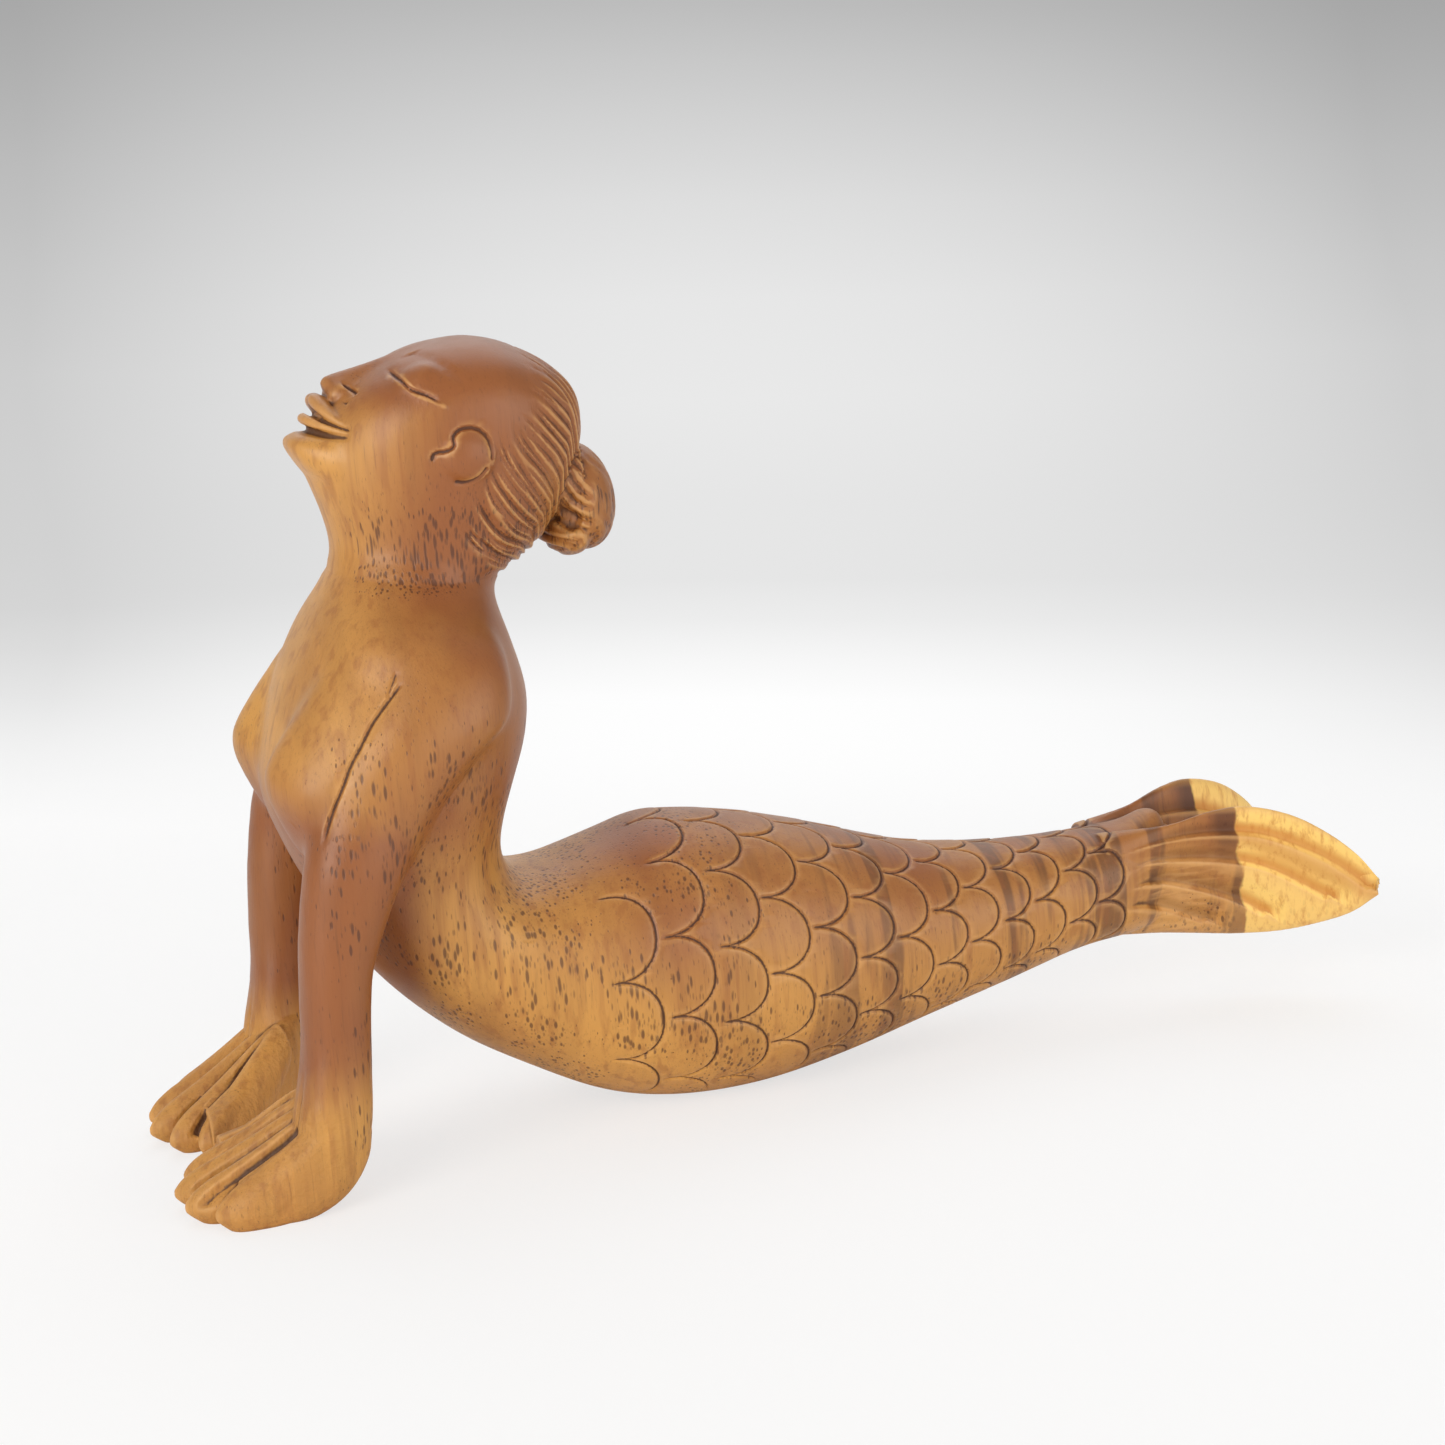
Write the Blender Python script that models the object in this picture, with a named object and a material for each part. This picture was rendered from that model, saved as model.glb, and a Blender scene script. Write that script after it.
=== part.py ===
"""A mermaid in the cobra pose, carved from one block of hardwood.

The carver saws the side view from the block first, so the outline is drawn on squares of one
millimetre, and the block's length and height stretch that drawing. Widths have names of their own.
+X runs to the tail tip, +Y to her right side, and the floor is at Z = 0.
"""
import math

import bmesh
import bpy
import numpy as np
from mathutils import Matrix, Vector

# The block, in metres, and the squares that its side view is drawn on.
BLOCK_LENGTH = 0.298
BLOCK_HEIGHT = 0.182
DRAWN_LENGTH = 298
DRAWN_HEIGHT = 182

# Widths across the block, in metres.
HEAD_WIDTH = 0.046
NECK_WIDTH = 0.037
SHOULDER_WIDTH = 0.083
CHEST_WIDTH = 0.060
WAIST_WIDTH = 0.050
HIP_WIDTH = 0.061
TAIL_WIDTH = 0.026
FIN_SPREAD = 0.058
FIN_THICKNESS = 0.0060
ARM_WIDTH = 0.017
HAND_SPREAD = 0.086
FINGER_WIDTH = 0.0092
BREAST_WIDTH = 0.037
BREAST_SPACING = 0.044
BUN_WIDTH = 0.0246
NOSE_WIDTH = 0.0096
MOUTH_WIDTH = 0.016
LIP_THICKNESS = 0.0032
EYE_SPACING = 0.0286
EAR_THICKNESS = 0.006

# Cuts of the gouge and the V tool, in metres.
SCALE_REACH = 0.0106
SCALE_REACH_AT_FIN = 0.0080
SCALE_CUT_WIDTH = 0.0018
SCALE_CUT_DEPTH = 0.0010
SCALE_RISE = 0.0003
HAIR_PITCH = 0.0030
HAIR_DEPTH = 0.0011
FLUTE_SLOPE = 0.0065
FLUTE_WALL = 0.0010
FLUTE_DEPTH = 0.0012
FINGER_GROOVE_WIDTH = 0.0030
FINGER_GROOVE_DEPTH = 0.0015
CREASE_WIDTH = 0.0030
CREASE_DEPTH = 0.0014
LINE_WIDTH = 0.0017
LINE_DEPTH = 0.0009

# How much of its width the head loses towards the mouth.
FACE_TAPER = 0.30

# Fineness of the surface: the grids that fuse the forms, and the triangles left after thinning.
ROUGH_GRID = 0.0016
FINE_GRID = 0.0009
TRIANGLES = 11600

WOOD_COLOUR = (0.36, 0.16, 0.055, 1.0)


def drawn(x, z, y=0.0):
    """A point of the side view, in squares, at y metres from the middle of the block."""
    return Vector((x / DRAWN_LENGTH * BLOCK_LENGTH, y, z / DRAWN_HEIGHT * BLOCK_HEIGHT))


def curve_through(rows, steps):
    """Rows of numbers joined by a smooth curve that passes through each of them."""
    rows = np.asarray(rows, dtype=float)
    padded = np.vstack([2 * rows[0] - rows[1], rows, 2 * rows[-1] - rows[-2]])
    out = []
    for before, start, end, after in zip(padded, padded[1:], padded[2:], padded[3:]):
        for t in np.arange(steps) / steps:
            bend = (2 * before - 5 * start + 4 * end - after) * t ** 2
            twist = (3 * start - before - 3 * end + after) * t ** 3
            out.append(0.5 * (2 * start + (end - before) * t + bend + twist))
    out.append(rows[-1])
    return np.array(out)


def add_object(name, bm):
    """A bmesh as an object of the scene, with its faces pointing out."""
    bmesh.ops.recalc_face_normals(bm, faces=bm.faces)
    mesh = bpy.data.meshes.new(name)
    bm.to_mesh(mesh)
    bm.free()
    obj = bpy.data.objects.new(name, mesh)
    bpy.context.scene.collection.objects.link(obj)
    return obj


def loft(name, sections, steps=3, sides=28, squareness=2.2):
    """A closed form through rings. A section is a centre, a half depth and a half width vector."""
    rows = [[*centre, *depth, *width] for centre, depth, width in sections]
    bm = bmesh.new()
    rings = []
    for row in curve_through(rows, steps):
        centre, depth, width = Vector(row[0:3]), Vector(row[3:6]), Vector(row[6:9])
        verts = bmesh.ops.create_circle(bm, segments=sides, radius=1.0)["verts"]
        for vert in verts:
            a = math.copysign(abs(vert.co.x) ** (2 / squareness), vert.co.x)
            b = math.copysign(abs(vert.co.y) ** (2 / squareness), vert.co.y)
            vert.co = centre + depth * a + width * b
        rings.append((verts, list({edge for vert in verts for edge in vert.link_edges})))
    for (_, edges), (_, next_edges) in zip(rings, rings[1:]):
        bmesh.ops.bridge_loops(bm, edges=edges + next_edges)
    for verts, _ in (rings[0], rings[-1]):
        bmesh.ops.contextual_create(bm, geom=verts)
    return add_object(name, bm)


def section(front, back, half_width, y=0.0):
    """A ring between two points of the side view, half_width to each side of y."""
    front, back = drawn(*front, y), drawn(*back, y)
    return (front + back) / 2, (front - back) / 2, Vector((0, half_width, 0))


def ball(name, x, z, y, long, high, half_width, lean=0.0):
    """An ellipsoid at a point of the side view, leaning by an angle in degrees."""
    turned = Matrix.Rotation(math.radians(lean), 4, "Y")
    place = Matrix.Translation(drawn(x, z, y)) @ turned @ Matrix.Diagonal((*drawn(long, high, half_width), 1))
    bm = bmesh.new()
    bmesh.ops.create_uvsphere(bm, u_segments=28, v_segments=16, radius=1.0, matrix=place)
    return add_object(name, bm)


def other_side(obj):
    """The same form on her right side."""
    bm = bmesh.new()
    bm.from_mesh(obj.data)
    bmesh.ops.scale(bm, vec=(1, -1, 1), verts=bm.verts)
    return add_object(obj.name + "_right", bm)


def tail_sections():
    """Upright rings of the tail: place, underside and top in squares, and the half width."""
    hip, tail = HIP_WIDTH / 2, TAIL_WIDTH / 2
    rows = [(-28, -0.6, 67.6, hip), (-8, -0.8, 64.6, hip * 0.97), (13, 2.6, 58.4, hip * 0.88),
            (35, 7.8, 50.9, hip * 0.74), (57, 12.6, 47.4, hip * 0.60), (77, 17.2, 46.6, tail * 1.15),
            (92, 18.5, 47.4, tail)]
    return [section((x, low), (x, top), half) for x, low, top, half in rows]


def make_body():
    neck, chest, waist, hip = NECK_WIDTH / 2, CHEST_WIDTH / 2, WAIST_WIDTH / 2, HIP_WIDTH / 2
    torso = [section((-96.4, 138), (-60, 134), neck * 0.95),
             section((-99.8, 130.8), (-62.2, 126), neck * 1.20),
             section((-106, 121.5), (-59.8, 115), chest * 1.10),
             section((-112, 110), (-57.2, 103.5), chest * 1.17),
             section((-115.8, 98), (-58.2, 93), chest * 1.12),
             section((-117.9, 86), (-61.4, 84.5), chest * 1.14),
             section((-115, 75), (-64.8, 74.5), waist * 1.16),
             section((-109, 61), (-66, 66.5), waist),
             section((-97.6, 41.4), (-63.2, 60.5), waist * 1.04),
             section((-81.5, 24.8), (-55, 60.4), waist * 1.10),
             section((-63.6, 12.9), (-47, 62.6), hip * 0.95),
             section((-46, 3.6), (-38, 65.3), hip * 0.99)]
    fin_root = [section((103, 19.4), (103, 50), TAIL_WIDTH * 0.36),
                section((110, 20), (110, 38), TAIL_WIDTH * 0.16)]
    return loft("body", torso + tail_sections() + fin_root)


def make_head():
    """Level rings from the nape to the crown. The face is tipped back to look at the sky."""
    neck, head = NECK_WIDTH / 2, HEAD_WIDTH / 2
    rows = [(123, -97, -63, neck), (129, -96.7, -61, neck * 0.98), (133.5, -96.8, -53, neck * 0.99),
            (141, -97.3, -46, head * 0.84), (149, -99.2, -41.4, head * 0.92), (157, -102, -39, head * 0.98),
            (163, -101.2, -38.4, head), (168, -97.4, -39.6, head), (173, -91.4, -43.8, head * 0.94),
            (177.2, -83.6, -49.4, head * 0.80), (180.4, -76.5, -55.4, head * 0.56),
            (182.1, -67, -62, head * 0.20)]
    head = loft("head", [section((front, z), (back, z), half) for z, front, back, half in rows])
    for vert in head.data.vertices:
        x, _, z = squares(np.array(vert.co))
        vert.co.y *= 1 - FACE_TAPER * ramp(-x, 84, 106) * ramp(z, 150, 158)
    return head


def make_arm():
    """The left arm, from inside the shoulder to inside the heel of the hand."""
    half = ARM_WIDTH / 2
    top = -(SHOULDER_WIDTH / 2 - half * 1.25)
    wrist = -(HAND_SPREAD / 2 - half * 1.12)
    rows = [((-84, 122), (-69, 120), half * 0.75, top * 0.72),
            ((-91.5, 116), (-69, 113.5), half * 1.08, top * 0.88),
            ((-98.8, 107.2), (-69.5, 102.5), half * 1.18, top * 0.99),
            ((-105, 99), (-74.6, 95.5), half * 1.22, top),
            ((-111, 88.5), (-86, 83.5), half * 1.14, top),
            ((-115.2, 78), (-94.6, 70.5), half * 1.06, wrist),
            ((-117.4, 67.5), (-99.6, 60), half, wrist),
            ((-118.9, 56.5), (-103, 51), half * 0.98, wrist),
            ((-119.7, 45.5), (-104, 44), half * 0.97, wrist),
            ((-120, 34.5), (-105, 33), half * 0.97, wrist),
            ((-119.8, 24), (-106, 20), half * 1.02, wrist),
            ((-119, 13), (-108, 11), half * 1.05, wrist)]
    return loft("arm", [section(front, back, wide, y) for front, back, wide, y in rows], squareness=2.3)


def make_hand():
    """The left hand: a wedge from the heel to the knuckles, with its inner side splayed."""
    outer = HAND_SPREAD / 2
    rows = [(-107.2, 15, 21, 0.74, 0.86), (-108.6, 10, 24.5, 0.64, 0.92), (-112, 4.5, 26, 0.53, 0.96),
            (-117, 0.5, 24, 0.42, 0.99), (-124, -2, 18, 0.28, 1.0), (-131, -2, 13.8, 0.15, 0.98),
            (-137, -2, 10.6, 0.05, 0.94)]
    rings = []
    for x, low, top, inner, rim in rows:
        centre = drawn(x, (low + top) / 2, -outer * (inner + rim) / 2)
        rings.append((centre, drawn(0, (top - low) / 2), Vector((0, outer * (rim - inner) / 2, 0))))
    return loft("hand", rings, steps=2, squareness=3.2)


# Where each finger leaves the wrist and where its tip is: squares along, and a share of half the spread.
FINGERS = {"thumb": ((-117, 0.50), (-139.8, 0.045)), "index": ((-115, 0.58), (-145.2, 0.24)),
           "middle": ((-114, 0.68), (-148.4, 0.49)), "ring": ((-114, 0.80), (-147.4, 0.73)),
           "little": ((-113, 0.89), (-141.8, 0.91))}


def make_fingers():
    """Five tapered fingers that fan from the wrist to pointed tips. Both thumbs meet."""
    outer = HAND_SPREAD / 2
    profile = [(0.0, 0.80, 12, 24.5), (0.25, 0.86, 3, 20.2), (0.50, 0.95, -2, 15.2), (0.75, 1.0, -2, 11),
               (0.89, 0.72, -2, 8.6), (0.96, 0.36, -1.6, 7), (1.0, 0.08, -0.6, 5.2)]
    fingers = []
    for name, ((root_x, root_y), (tip_x, tip_y)) in FINGERS.items():
        root, tip = drawn(root_x, 0, -outer * root_y), drawn(tip_x, 0, -outer * tip_y)
        aside = (tip - root).cross(Vector((0, 0, 1))).normalized()
        rings = []
        for share, wide, low, top in profile:
            centre = root.lerp(tip, share) + drawn(0, (top + low) / 2)
            rings.append((centre, drawn(0, (top - low) / 2), aside * FINGER_WIDTH / 2 * wide))
        fingers.append(loft(name, rings, steps=2, sides=20, squareness=2.0))
    return fingers


def make_breast():
    """A blunt pyramid with ridges above, below and to the side, which points a little down."""
    half = BREAST_WIDTH / 2
    y = -BREAST_SPACING / 2
    rows = [((-90, 127), (-88, 104), 0.70), ((-103, 117.4), (-102.5, 96.5), 0.84),
            ((-111.6, 107.8), (-112, 90.4), 0.76), ((-117.4, 100.2), (-118, 88.8), 0.45),
            ((-120.1, 95.2), (-120.3, 90.6), 0.14)]
    return loft("breast", [section(front, back, half * wide, y) for front, back, wide in rows], squareness=1.45)


def make_bun():
    """Hair gathered in an upright roll behind the head, held close to the nape."""
    half = BUN_WIDTH / 2
    root = loft("bun_root", [section((-51, 160), (-51, 139), half * 0.9),
                             section((-41, 157.5), (-41, 140.5), half * 0.94)])
    return [ball("bun", -39.9, 143.8, 0, 8.0, 12.4, half, lean=-8),
            ball("bun_foot", -43.5, 136.2, 0, 6.0, 5.2, half * 0.86, lean=10), root]


def make_lobe():
    """The left half of the fin: a curved blade that rises from the middle and flares to its tip."""
    side = FIN_SPREAD / 2
    rows = [(84, 19.8, 0.02, 46.4, 0.24, 2.2), (92, 18.6, 0.05, 47.2, 0.31, 1.8),
            (101, 17.8, 0.10, 48.4, 0.40, 1.35), (111, 16.5, 0.17, 50.4, 0.48, 1.05),
            (120, 15.7, 0.27, 50.7, 0.56, 0.95), (130, 16, 0.42, 47.8, 0.66, 0.9),
            (138, 18.2, 0.60, 43, 0.78, 0.85), (144.5, 21.3, 0.77, 37.4, 0.89, 0.75),
            (149.2, 26.4, 0.94, 31.4, 1.0, 0.4)]
    rings = []
    for x, low, inner, top, rim, thick in rows:
        foot, edge = drawn(x, low, -side * inner), drawn(x, top, -side * rim)
        across = (edge - foot).cross(Vector((1, 0, 0))).normalized()
        rings.append(((foot + edge) / 2, (edge - foot) / 2, across * FIN_THICKNESS / 2 * thick))
    return loft("lobe", rings, steps=3, squareness=2.3)


def make_lip(name, rows):
    """A leaf-shaped loft across the mouth. A row is a share of half the mouth, x, z and a thickness."""
    out = drawn(-0.95, 0.30).normalized() * LIP_THICKNESS / 2
    up = Vector((-out.z, 0, out.x)) * -0.7
    whole = rows + [(-aside, *rest) for aside, *rest in reversed(rows[:-1])]
    return loft(name, [(drawn(x, z, aside * MOUTH_WIDTH / 2), out * thick, up * thick)
                       for aside, x, z, thick in whole], sides=20, squareness=2.0)


def make_face():
    """Nose, lips, chin, eyelids and ears, each a small form that the grid fuses to the head."""
    nose, mouth, eye = NOSE_WIDTH / 2, MOUTH_WIDTH / 2, EYE_SPACING / 2
    bridge = [section((-74, 180.2), (-73, 174), nose * 0.26), section((-79, 180.3), (-77, 173), nose * 0.48),
              section((-86.5, 178.2), (-84, 170), nose * 0.72), section((-92, 176.8), (-89, 168), nose),
              section((-95.4, 175.7), (-91.5, 168.6), nose * 0.95),
              section((-96.4, 174.2), (-94, 170.5), nose * 0.5)]
    jaw = [section((-92, 166), (-92, 152), mouth * 1.25), section((-98, 165.4), (-98, 154.5), mouth * 1.06),
           section((-102, 164.6), (-102, 157.5), mouth * 0.82),
           section((-104.4, 163.4), (-104.4, 160), mouth * 0.44)]
    upper = [(-1.04, -92.8, 165.6, 0.3), (-0.78, -94.8, 167.6, 0.8), (-0.46, -96.2, 169.4, 1.15),
             (-0.18, -97.2, 170.7, 1.25), (0.0, -97.2, 170.7, 1.1)]
    lower = [(-1.0, -93.2, 164.8, 0.3), (-0.70, -96.0, 165.4, 0.75), (-0.36, -98.2, 166.3, 1.1),
             (0.0, -99.2, 166.9, 1.2)]
    middle = [loft("nose", bridge, steps=2, sides=20, squareness=1.6),
              loft("chin", jaw, steps=2, sides=20, squareness=2.0),
              make_lip("upper_lip", upper), make_lip("lower_lip", lower)]
    ear_at = -(HEAD_WIDTH / 2 - EAR_THICKNESS * 0.18)
    sides = [ball("nostril", -92.6, 172.2, -nose * 0.74, 2.7, 2.2, nose * 0.40, lean=-30),
             ball("eyelid", -78.2, 174.4, -eye, 7.0, 4.6, eye * 0.42, lean=-35),
             ball("ear", -69.6, 158.4, ear_at, 6.4, 5.7, EAR_THICKNESS * 0.46, lean=25)]
    return middle + sides + [other_side(form) for form in sides]


def evaluated_mesh(obj):
    """The object's mesh as its modifiers leave it, which then replaces the plain one."""
    graph = bpy.context.evaluated_depsgraph_get()
    mesh = bpy.data.meshes.new_from_object(obj.evaluated_get(graph))
    obj.modifiers.clear()
    obj.data = mesh
    return mesh


def fuse(name, forms, grid, smoothing):
    """Several closed forms as one skin: a voxel grid joins them and smoothing blends the joins."""
    bm = bmesh.new()
    for form in forms:
        bm.from_mesh(form.data)
        bpy.data.objects.remove(form)
    obj = add_object(name, bm)
    remesh = obj.modifiers.new("Fuse", "REMESH")
    remesh.mode = "VOXEL"
    remesh.voxel_size = grid
    blend = obj.modifiers.new("Blend", "SMOOTH")
    blend.factor = 0.5
    blend.iterations = smoothing
    evaluated_mesh(obj)
    return obj


def squares(points):
    """Points in metres as squares of the side view, with Y left in metres."""
    return points * (DRAWN_LENGTH / BLOCK_LENGTH, 1, DRAWN_HEIGHT / BLOCK_HEIGHT)


def cut(distance, width, depth):
    """The depth of a V cut at a distance from its middle line."""
    return depth * np.clip(1 - np.abs(distance) / (width / 2), 0, 1)


def ramp(value, start, end):
    """0 before start and 1 after end, with a soft change between."""
    t = np.clip((value - start) / (end - start), 0, 1)
    return t * t * (3 - 2 * t)


def follow(x, z, path):
    """How far points lie from a smooth line of the drawing, in metres, and on which side of it."""
    grid = np.array([BLOCK_LENGTH / DRAWN_LENGTH, BLOCK_HEIGHT / DRAWN_HEIGHT])
    points = np.stack([x, z], axis=1) * grid
    line = curve_through(np.array(path) * grid, 3)
    nearest, side = np.full(len(points), np.inf), np.zeros(len(points))
    for start, end in zip(line, line[1:]):
        run, offset = end - start, points - start
        share = np.clip(offset @ run / (run @ run), 0, 1)
        distance = np.linalg.norm(offset - share[:, None] * run, axis=1)
        closer = distance < nearest
        nearest[closer] = distance[closer]
        side[closer] = np.sign(run[0] * offset[:, 1] - run[1] * offset[:, 0])[closer]
    return nearest, side


def stroke(x, z, path, width, depth):
    """One cut along a line of the drawing."""
    return cut(follow(x, z, path)[0], width, depth)


# A column of scales is its place along the tail in squares, the angle from the top of the tail to its
# first scale, towards her left, and the angle from scale to scale. The first column is short and
# starts low on both hips.
HIP_COLUMN = (-37.3, 1.15, 0.62)
SCALE_COLUMNS = [HIP_COLUMN, (-24.5, 0.36, 0.56), (-11.8, -0.04, 0.54), (-0.3, 0.17, 0.545),
                 (11.2, 0.41, 0.54), (22.0, 0.20, 0.52), (32.0, 0.40, 0.64), (42.0, 0.20, 0.61),
                 (51.2, 0.56, 0.67), (60.8, 0.31, 0.73), (69.9, 0.0, 0.83), (79.3, 0.48, 0.86),
                 (87.5, 0.26, 0.88)]


def scale_cuts(x, y, z):
    """Fish scales round the tail. Each cut is the curved fin side of a scale, open to the hip."""
    rings = tail_sections()
    places = [squares(np.array(centre))[0] for centre, _, _ in rings]
    middle = np.interp(x, places, [centre.z for centre, _, _ in rings])
    high = np.interp(x, places, [abs(depth.z) for _, depth, _ in rings])
    wide = np.interp(x, places, [width.y for _, _, width in rings])
    turn = -np.arctan2(y / wide, (z * BLOCK_HEIGHT / DRAWN_HEIGHT - middle) / high)
    cuts, raised = np.zeros(len(x)), np.zeros(len(x))
    for column in SCALE_COLUMNS:
        place, first, pitch = column
        phase = ((np.abs(turn) if column is HIP_COLUMN else turn) - first) / pitch
        aside = phase - np.round(phase)
        reach = SCALE_REACH + (SCALE_REACH_AT_FIN - SCALE_REACH) * ramp(np.array(place), -10, 60)
        along = (x - place) * BLOCK_LENGTH / DRAWN_LENGTH / reach + 1
        size = np.hypot(np.clip(along, 0, None), 2 * aside)
        outward = np.hypot(along * reach, aside * pitch * (wide + high) / 2)
        here = (along > 0) & (size < 1.5)
        if column is HIP_COLUMN:
            here &= phase > -0.5
        line = cut(outward * (1 - 1 / np.maximum(size, 0.2)), SCALE_CUT_WIDTH, SCALE_CUT_DEPTH)
        cuts = np.maximum(cuts, line * here)
        swell = ramp(along, 0, 0.8) * ramp(1 - size, 0, 0.2)
        raised = np.maximum(raised, SCALE_RISE * (here & (size < 1)) * swell)
    return (cuts - raised) * ramp(-np.abs(turn), -2.75, -2.45)


def hair_strands():
    """Strands on the side of the head, about HAIR_PITCH apart, between guides drawn by eye."""
    guides = np.array([[(-53.7, 176.3), (-48.3, 173.5), (-43.1, 168.2), (-38.7, 160.9)],
                       [(-54.4, 171.5), (-49.9, 167.8), (-44.7, 162.1), (-40.0, 155.7)],
                       [(-57.8, 165.7), (-53.2, 159.9), (-47.6, 153.5), (-42.0, 143.6)],
                       [(-62.6, 164.0), (-59.9, 156.9), (-54.9, 149.1), (-47.9, 139.5)],
                       [(-66.1, 154.3), (-63.3, 147.5), (-58.3, 141.6), (-50.3, 137.1)],
                       [(-69.2, 148.5), (-66.9, 142.7), (-62.4, 137.3), (-53.8, 134.0)],
                       [(-70.1, 139.3), (-67.0, 135.9), (-62.7, 133.1), (-56.7, 130.9)]])
    strands = [guides[0]]
    for guide, following in zip(guides, guides[1:]):
        gap = np.linalg.norm((following - guide) * BLOCK_LENGTH / DRAWN_LENGTH, axis=1).mean()
        count = max(1, round(gap / HAIR_PITCH))
        strands += [guide + (following - guide) * k / count for k in range(1, count + 1)]
    return strands


def hair_cuts(x, z):
    """Long cuts that sweep from the hairline down to the bun and the nape."""
    cuts = np.max([stroke(x, z, strand, HAIR_PITCH, HAIR_DEPTH) for strand in hair_strands()], axis=0)
    hairline = np.interp(z, [128, 133, 140, 150, 161, 169, 176, 182],
                         [-64, -69, -70.5, -69, -64, -58, -54, -52])
    return (cuts - HAIR_DEPTH * 0.4 * ramp(x - hairline, 0, 2)) * ramp(-x, 41, 44)


def fin_cuts(x, z):
    """Flutes that fan over the fin, each with a long slope above its line and a steep wall below."""
    flutes = [[(84, 41.5), (92, 43.6), (104, 45.2), (117.4, 44.6), (127, 42), (138.2, 35.9), (146.5, 29)],
              [(86, 37.6), (96, 39.4), (108, 38.6), (119.2, 36.4), (127, 33.2), (138, 26.2)],
              [(86, 34.2), (96.6, 34), (107.6, 30.8), (118, 26.4), (125, 21.8)],
              [(86, 29.4), (93, 28.4), (101.3, 25.4), (111, 20.8)]]
    cuts = np.zeros(len(x))
    for flute in flutes:
        distance, side = follow(x, z, flute)
        run = np.where(side > 0, FLUTE_SLOPE, FLUTE_WALL)
        cuts = np.maximum(cuts, FLUTE_DEPTH * np.clip(1 - distance / run, 0, 1))
    return cuts * ramp(x, 84, 96)


def finger_cuts(x, y, upward):
    """Grooves on the back of the hand, halfway between neighbouring fingers, seen from above."""
    outer = HAND_SPREAD / 2
    fingers = np.array(list(FINGERS.values())) * (BLOCK_LENGTH / DRAWN_LENGTH, outer)
    along = x * BLOCK_LENGTH / DRAWN_LENGTH
    cuts = np.zeros(len(x))
    for (root, tip), (next_root, next_tip) in zip(fingers, fingers[1:]):
        start, end = (root + next_root) / 2, (tip + next_tip) / 2
        run, offset = end - start, np.stack([along, np.abs(y)], axis=1) - start
        share = np.clip(offset @ run / (run @ run), 0, 1)
        distance = np.linalg.norm(offset - share[:, None] * run, axis=1)
        groove = cut(distance, FINGER_GROOVE_WIDTH, FINGER_GROOVE_DEPTH) * ramp(share, 0.1, 0.5)
        cuts = np.maximum(cuts, groove)
    return cuts * ramp(upward, 0, 0.4)


def crease_cuts(x, y, z, sideways):
    """The folds where limbs meet the body, and the ring at the foot of the neck."""
    armpit = [(-94, 117), (-99.8, 107.4), (-104.6, 99.4), (-107.6, 94), (-110.3, 88.7), (-113, 82.5)]
    arm_back = [(-72, 99.5), (-76, 95.5), (-82, 88.6), (-89, 81), (-94, 73)]
    neck_ring = [(-104, 134), (-92.5, 132.8), (-82, 131.2), (-72, 130.4), (-62, 130), (-52, 130)]
    side = np.abs(y) > CHEST_WIDTH * 0.28
    depth = stroke(x, z, armpit, CREASE_WIDTH, CREASE_DEPTH) * side * ramp(sideways, 0.1, 0.5)
    depth += stroke(x, z, arm_back, CREASE_WIDTH, CREASE_DEPTH * 0.4) * side
    return depth + stroke(x, z, neck_ring, CREASE_WIDTH, CREASE_DEPTH * 0.35)


def face_cuts(x, y, z, sideways):
    """The closed lids, the brow, the mouth and the rim of each ear, cut with a small V tool."""
    lid = [(-82.1, 176.8), (-80.8, 174.6), (-78.3, 172.9), (-75.4, 171.3), (-73.6, 169.2)]
    brow = [(-86.7, 180), (-80.6, 179.6), (-74.5, 178.3), (-70, 175.8), (-68.6, 171.5)]
    mouth = [(-100.2, 169.4), (-97.2, 167.9), (-94.6, 166.2), (-91.4, 164.3)]
    ear = [(-77.4, 158), (-76.6, 159.6), (-74.4, 160.2), (-72.6, 161.2), (-72.6, 163.2), (-70.4, 164.4),
           (-67, 164), (-64.8, 161.8), (-64, 158.6), (-65.4, 155.2), (-67.8, 153.2), (-70.6, 152.3),
           (-73.2, 152.8)]
    off_nose = np.abs(y) > NOSE_WIDTH * 0.7
    depth = stroke(x, z, lid, LINE_WIDTH, LINE_DEPTH) * off_nose
    depth += stroke(x, z, brow, LINE_WIDTH * 1.6, LINE_DEPTH * 0.5) * off_nose
    depth += stroke(x, z, mouth, LINE_WIDTH, LINE_DEPTH) * (np.abs(y) < MOUTH_WIDTH * 0.6)
    return depth + stroke(x, z, ear, LINE_WIDTH, LINE_DEPTH * 1.2) * (sideways > 0.4)


def carve(mesh):
    """Every cut, as a push of the skin against its normal."""
    count = len(mesh.vertices)
    points, normals = np.empty(count * 3), np.empty(count * 3)
    mesh.vertices.foreach_get("co", points)
    mesh.vertices.foreach_get("normal", normals)
    points, normals = points.reshape(-1, 3), normals.reshape(-1, 3)
    x, y, z = squares(points).T
    sideways = np.abs(normals[:, 1])
    tail, fin = (x > -50) & (x < 97) & (z < 80), (x > 84) & (z < 80)
    head, torso = z > 130, (z > 60) & (z < 137) & (x < -50)
    hand = (z < 32) & (x < -108)
    depth = np.zeros(count)
    depth[tail] += scale_cuts(x[tail], y[tail], z[tail])
    depth[fin] += fin_cuts(x[fin], z[fin])
    depth[hand] += finger_cuts(x[hand], y[hand], normals[hand][:, 2])
    depth[head] += hair_cuts(x[head], z[head])
    depth[head] += face_cuts(x[head], y[head], z[head], sideways[head])
    depth[torso] += crease_cuts(x[torso], y[torso], z[torso], sideways[torso])
    points -= normals * depth[:, None]
    mesh.vertices.foreach_set("co", points.ravel())
    mesh.update()


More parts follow.
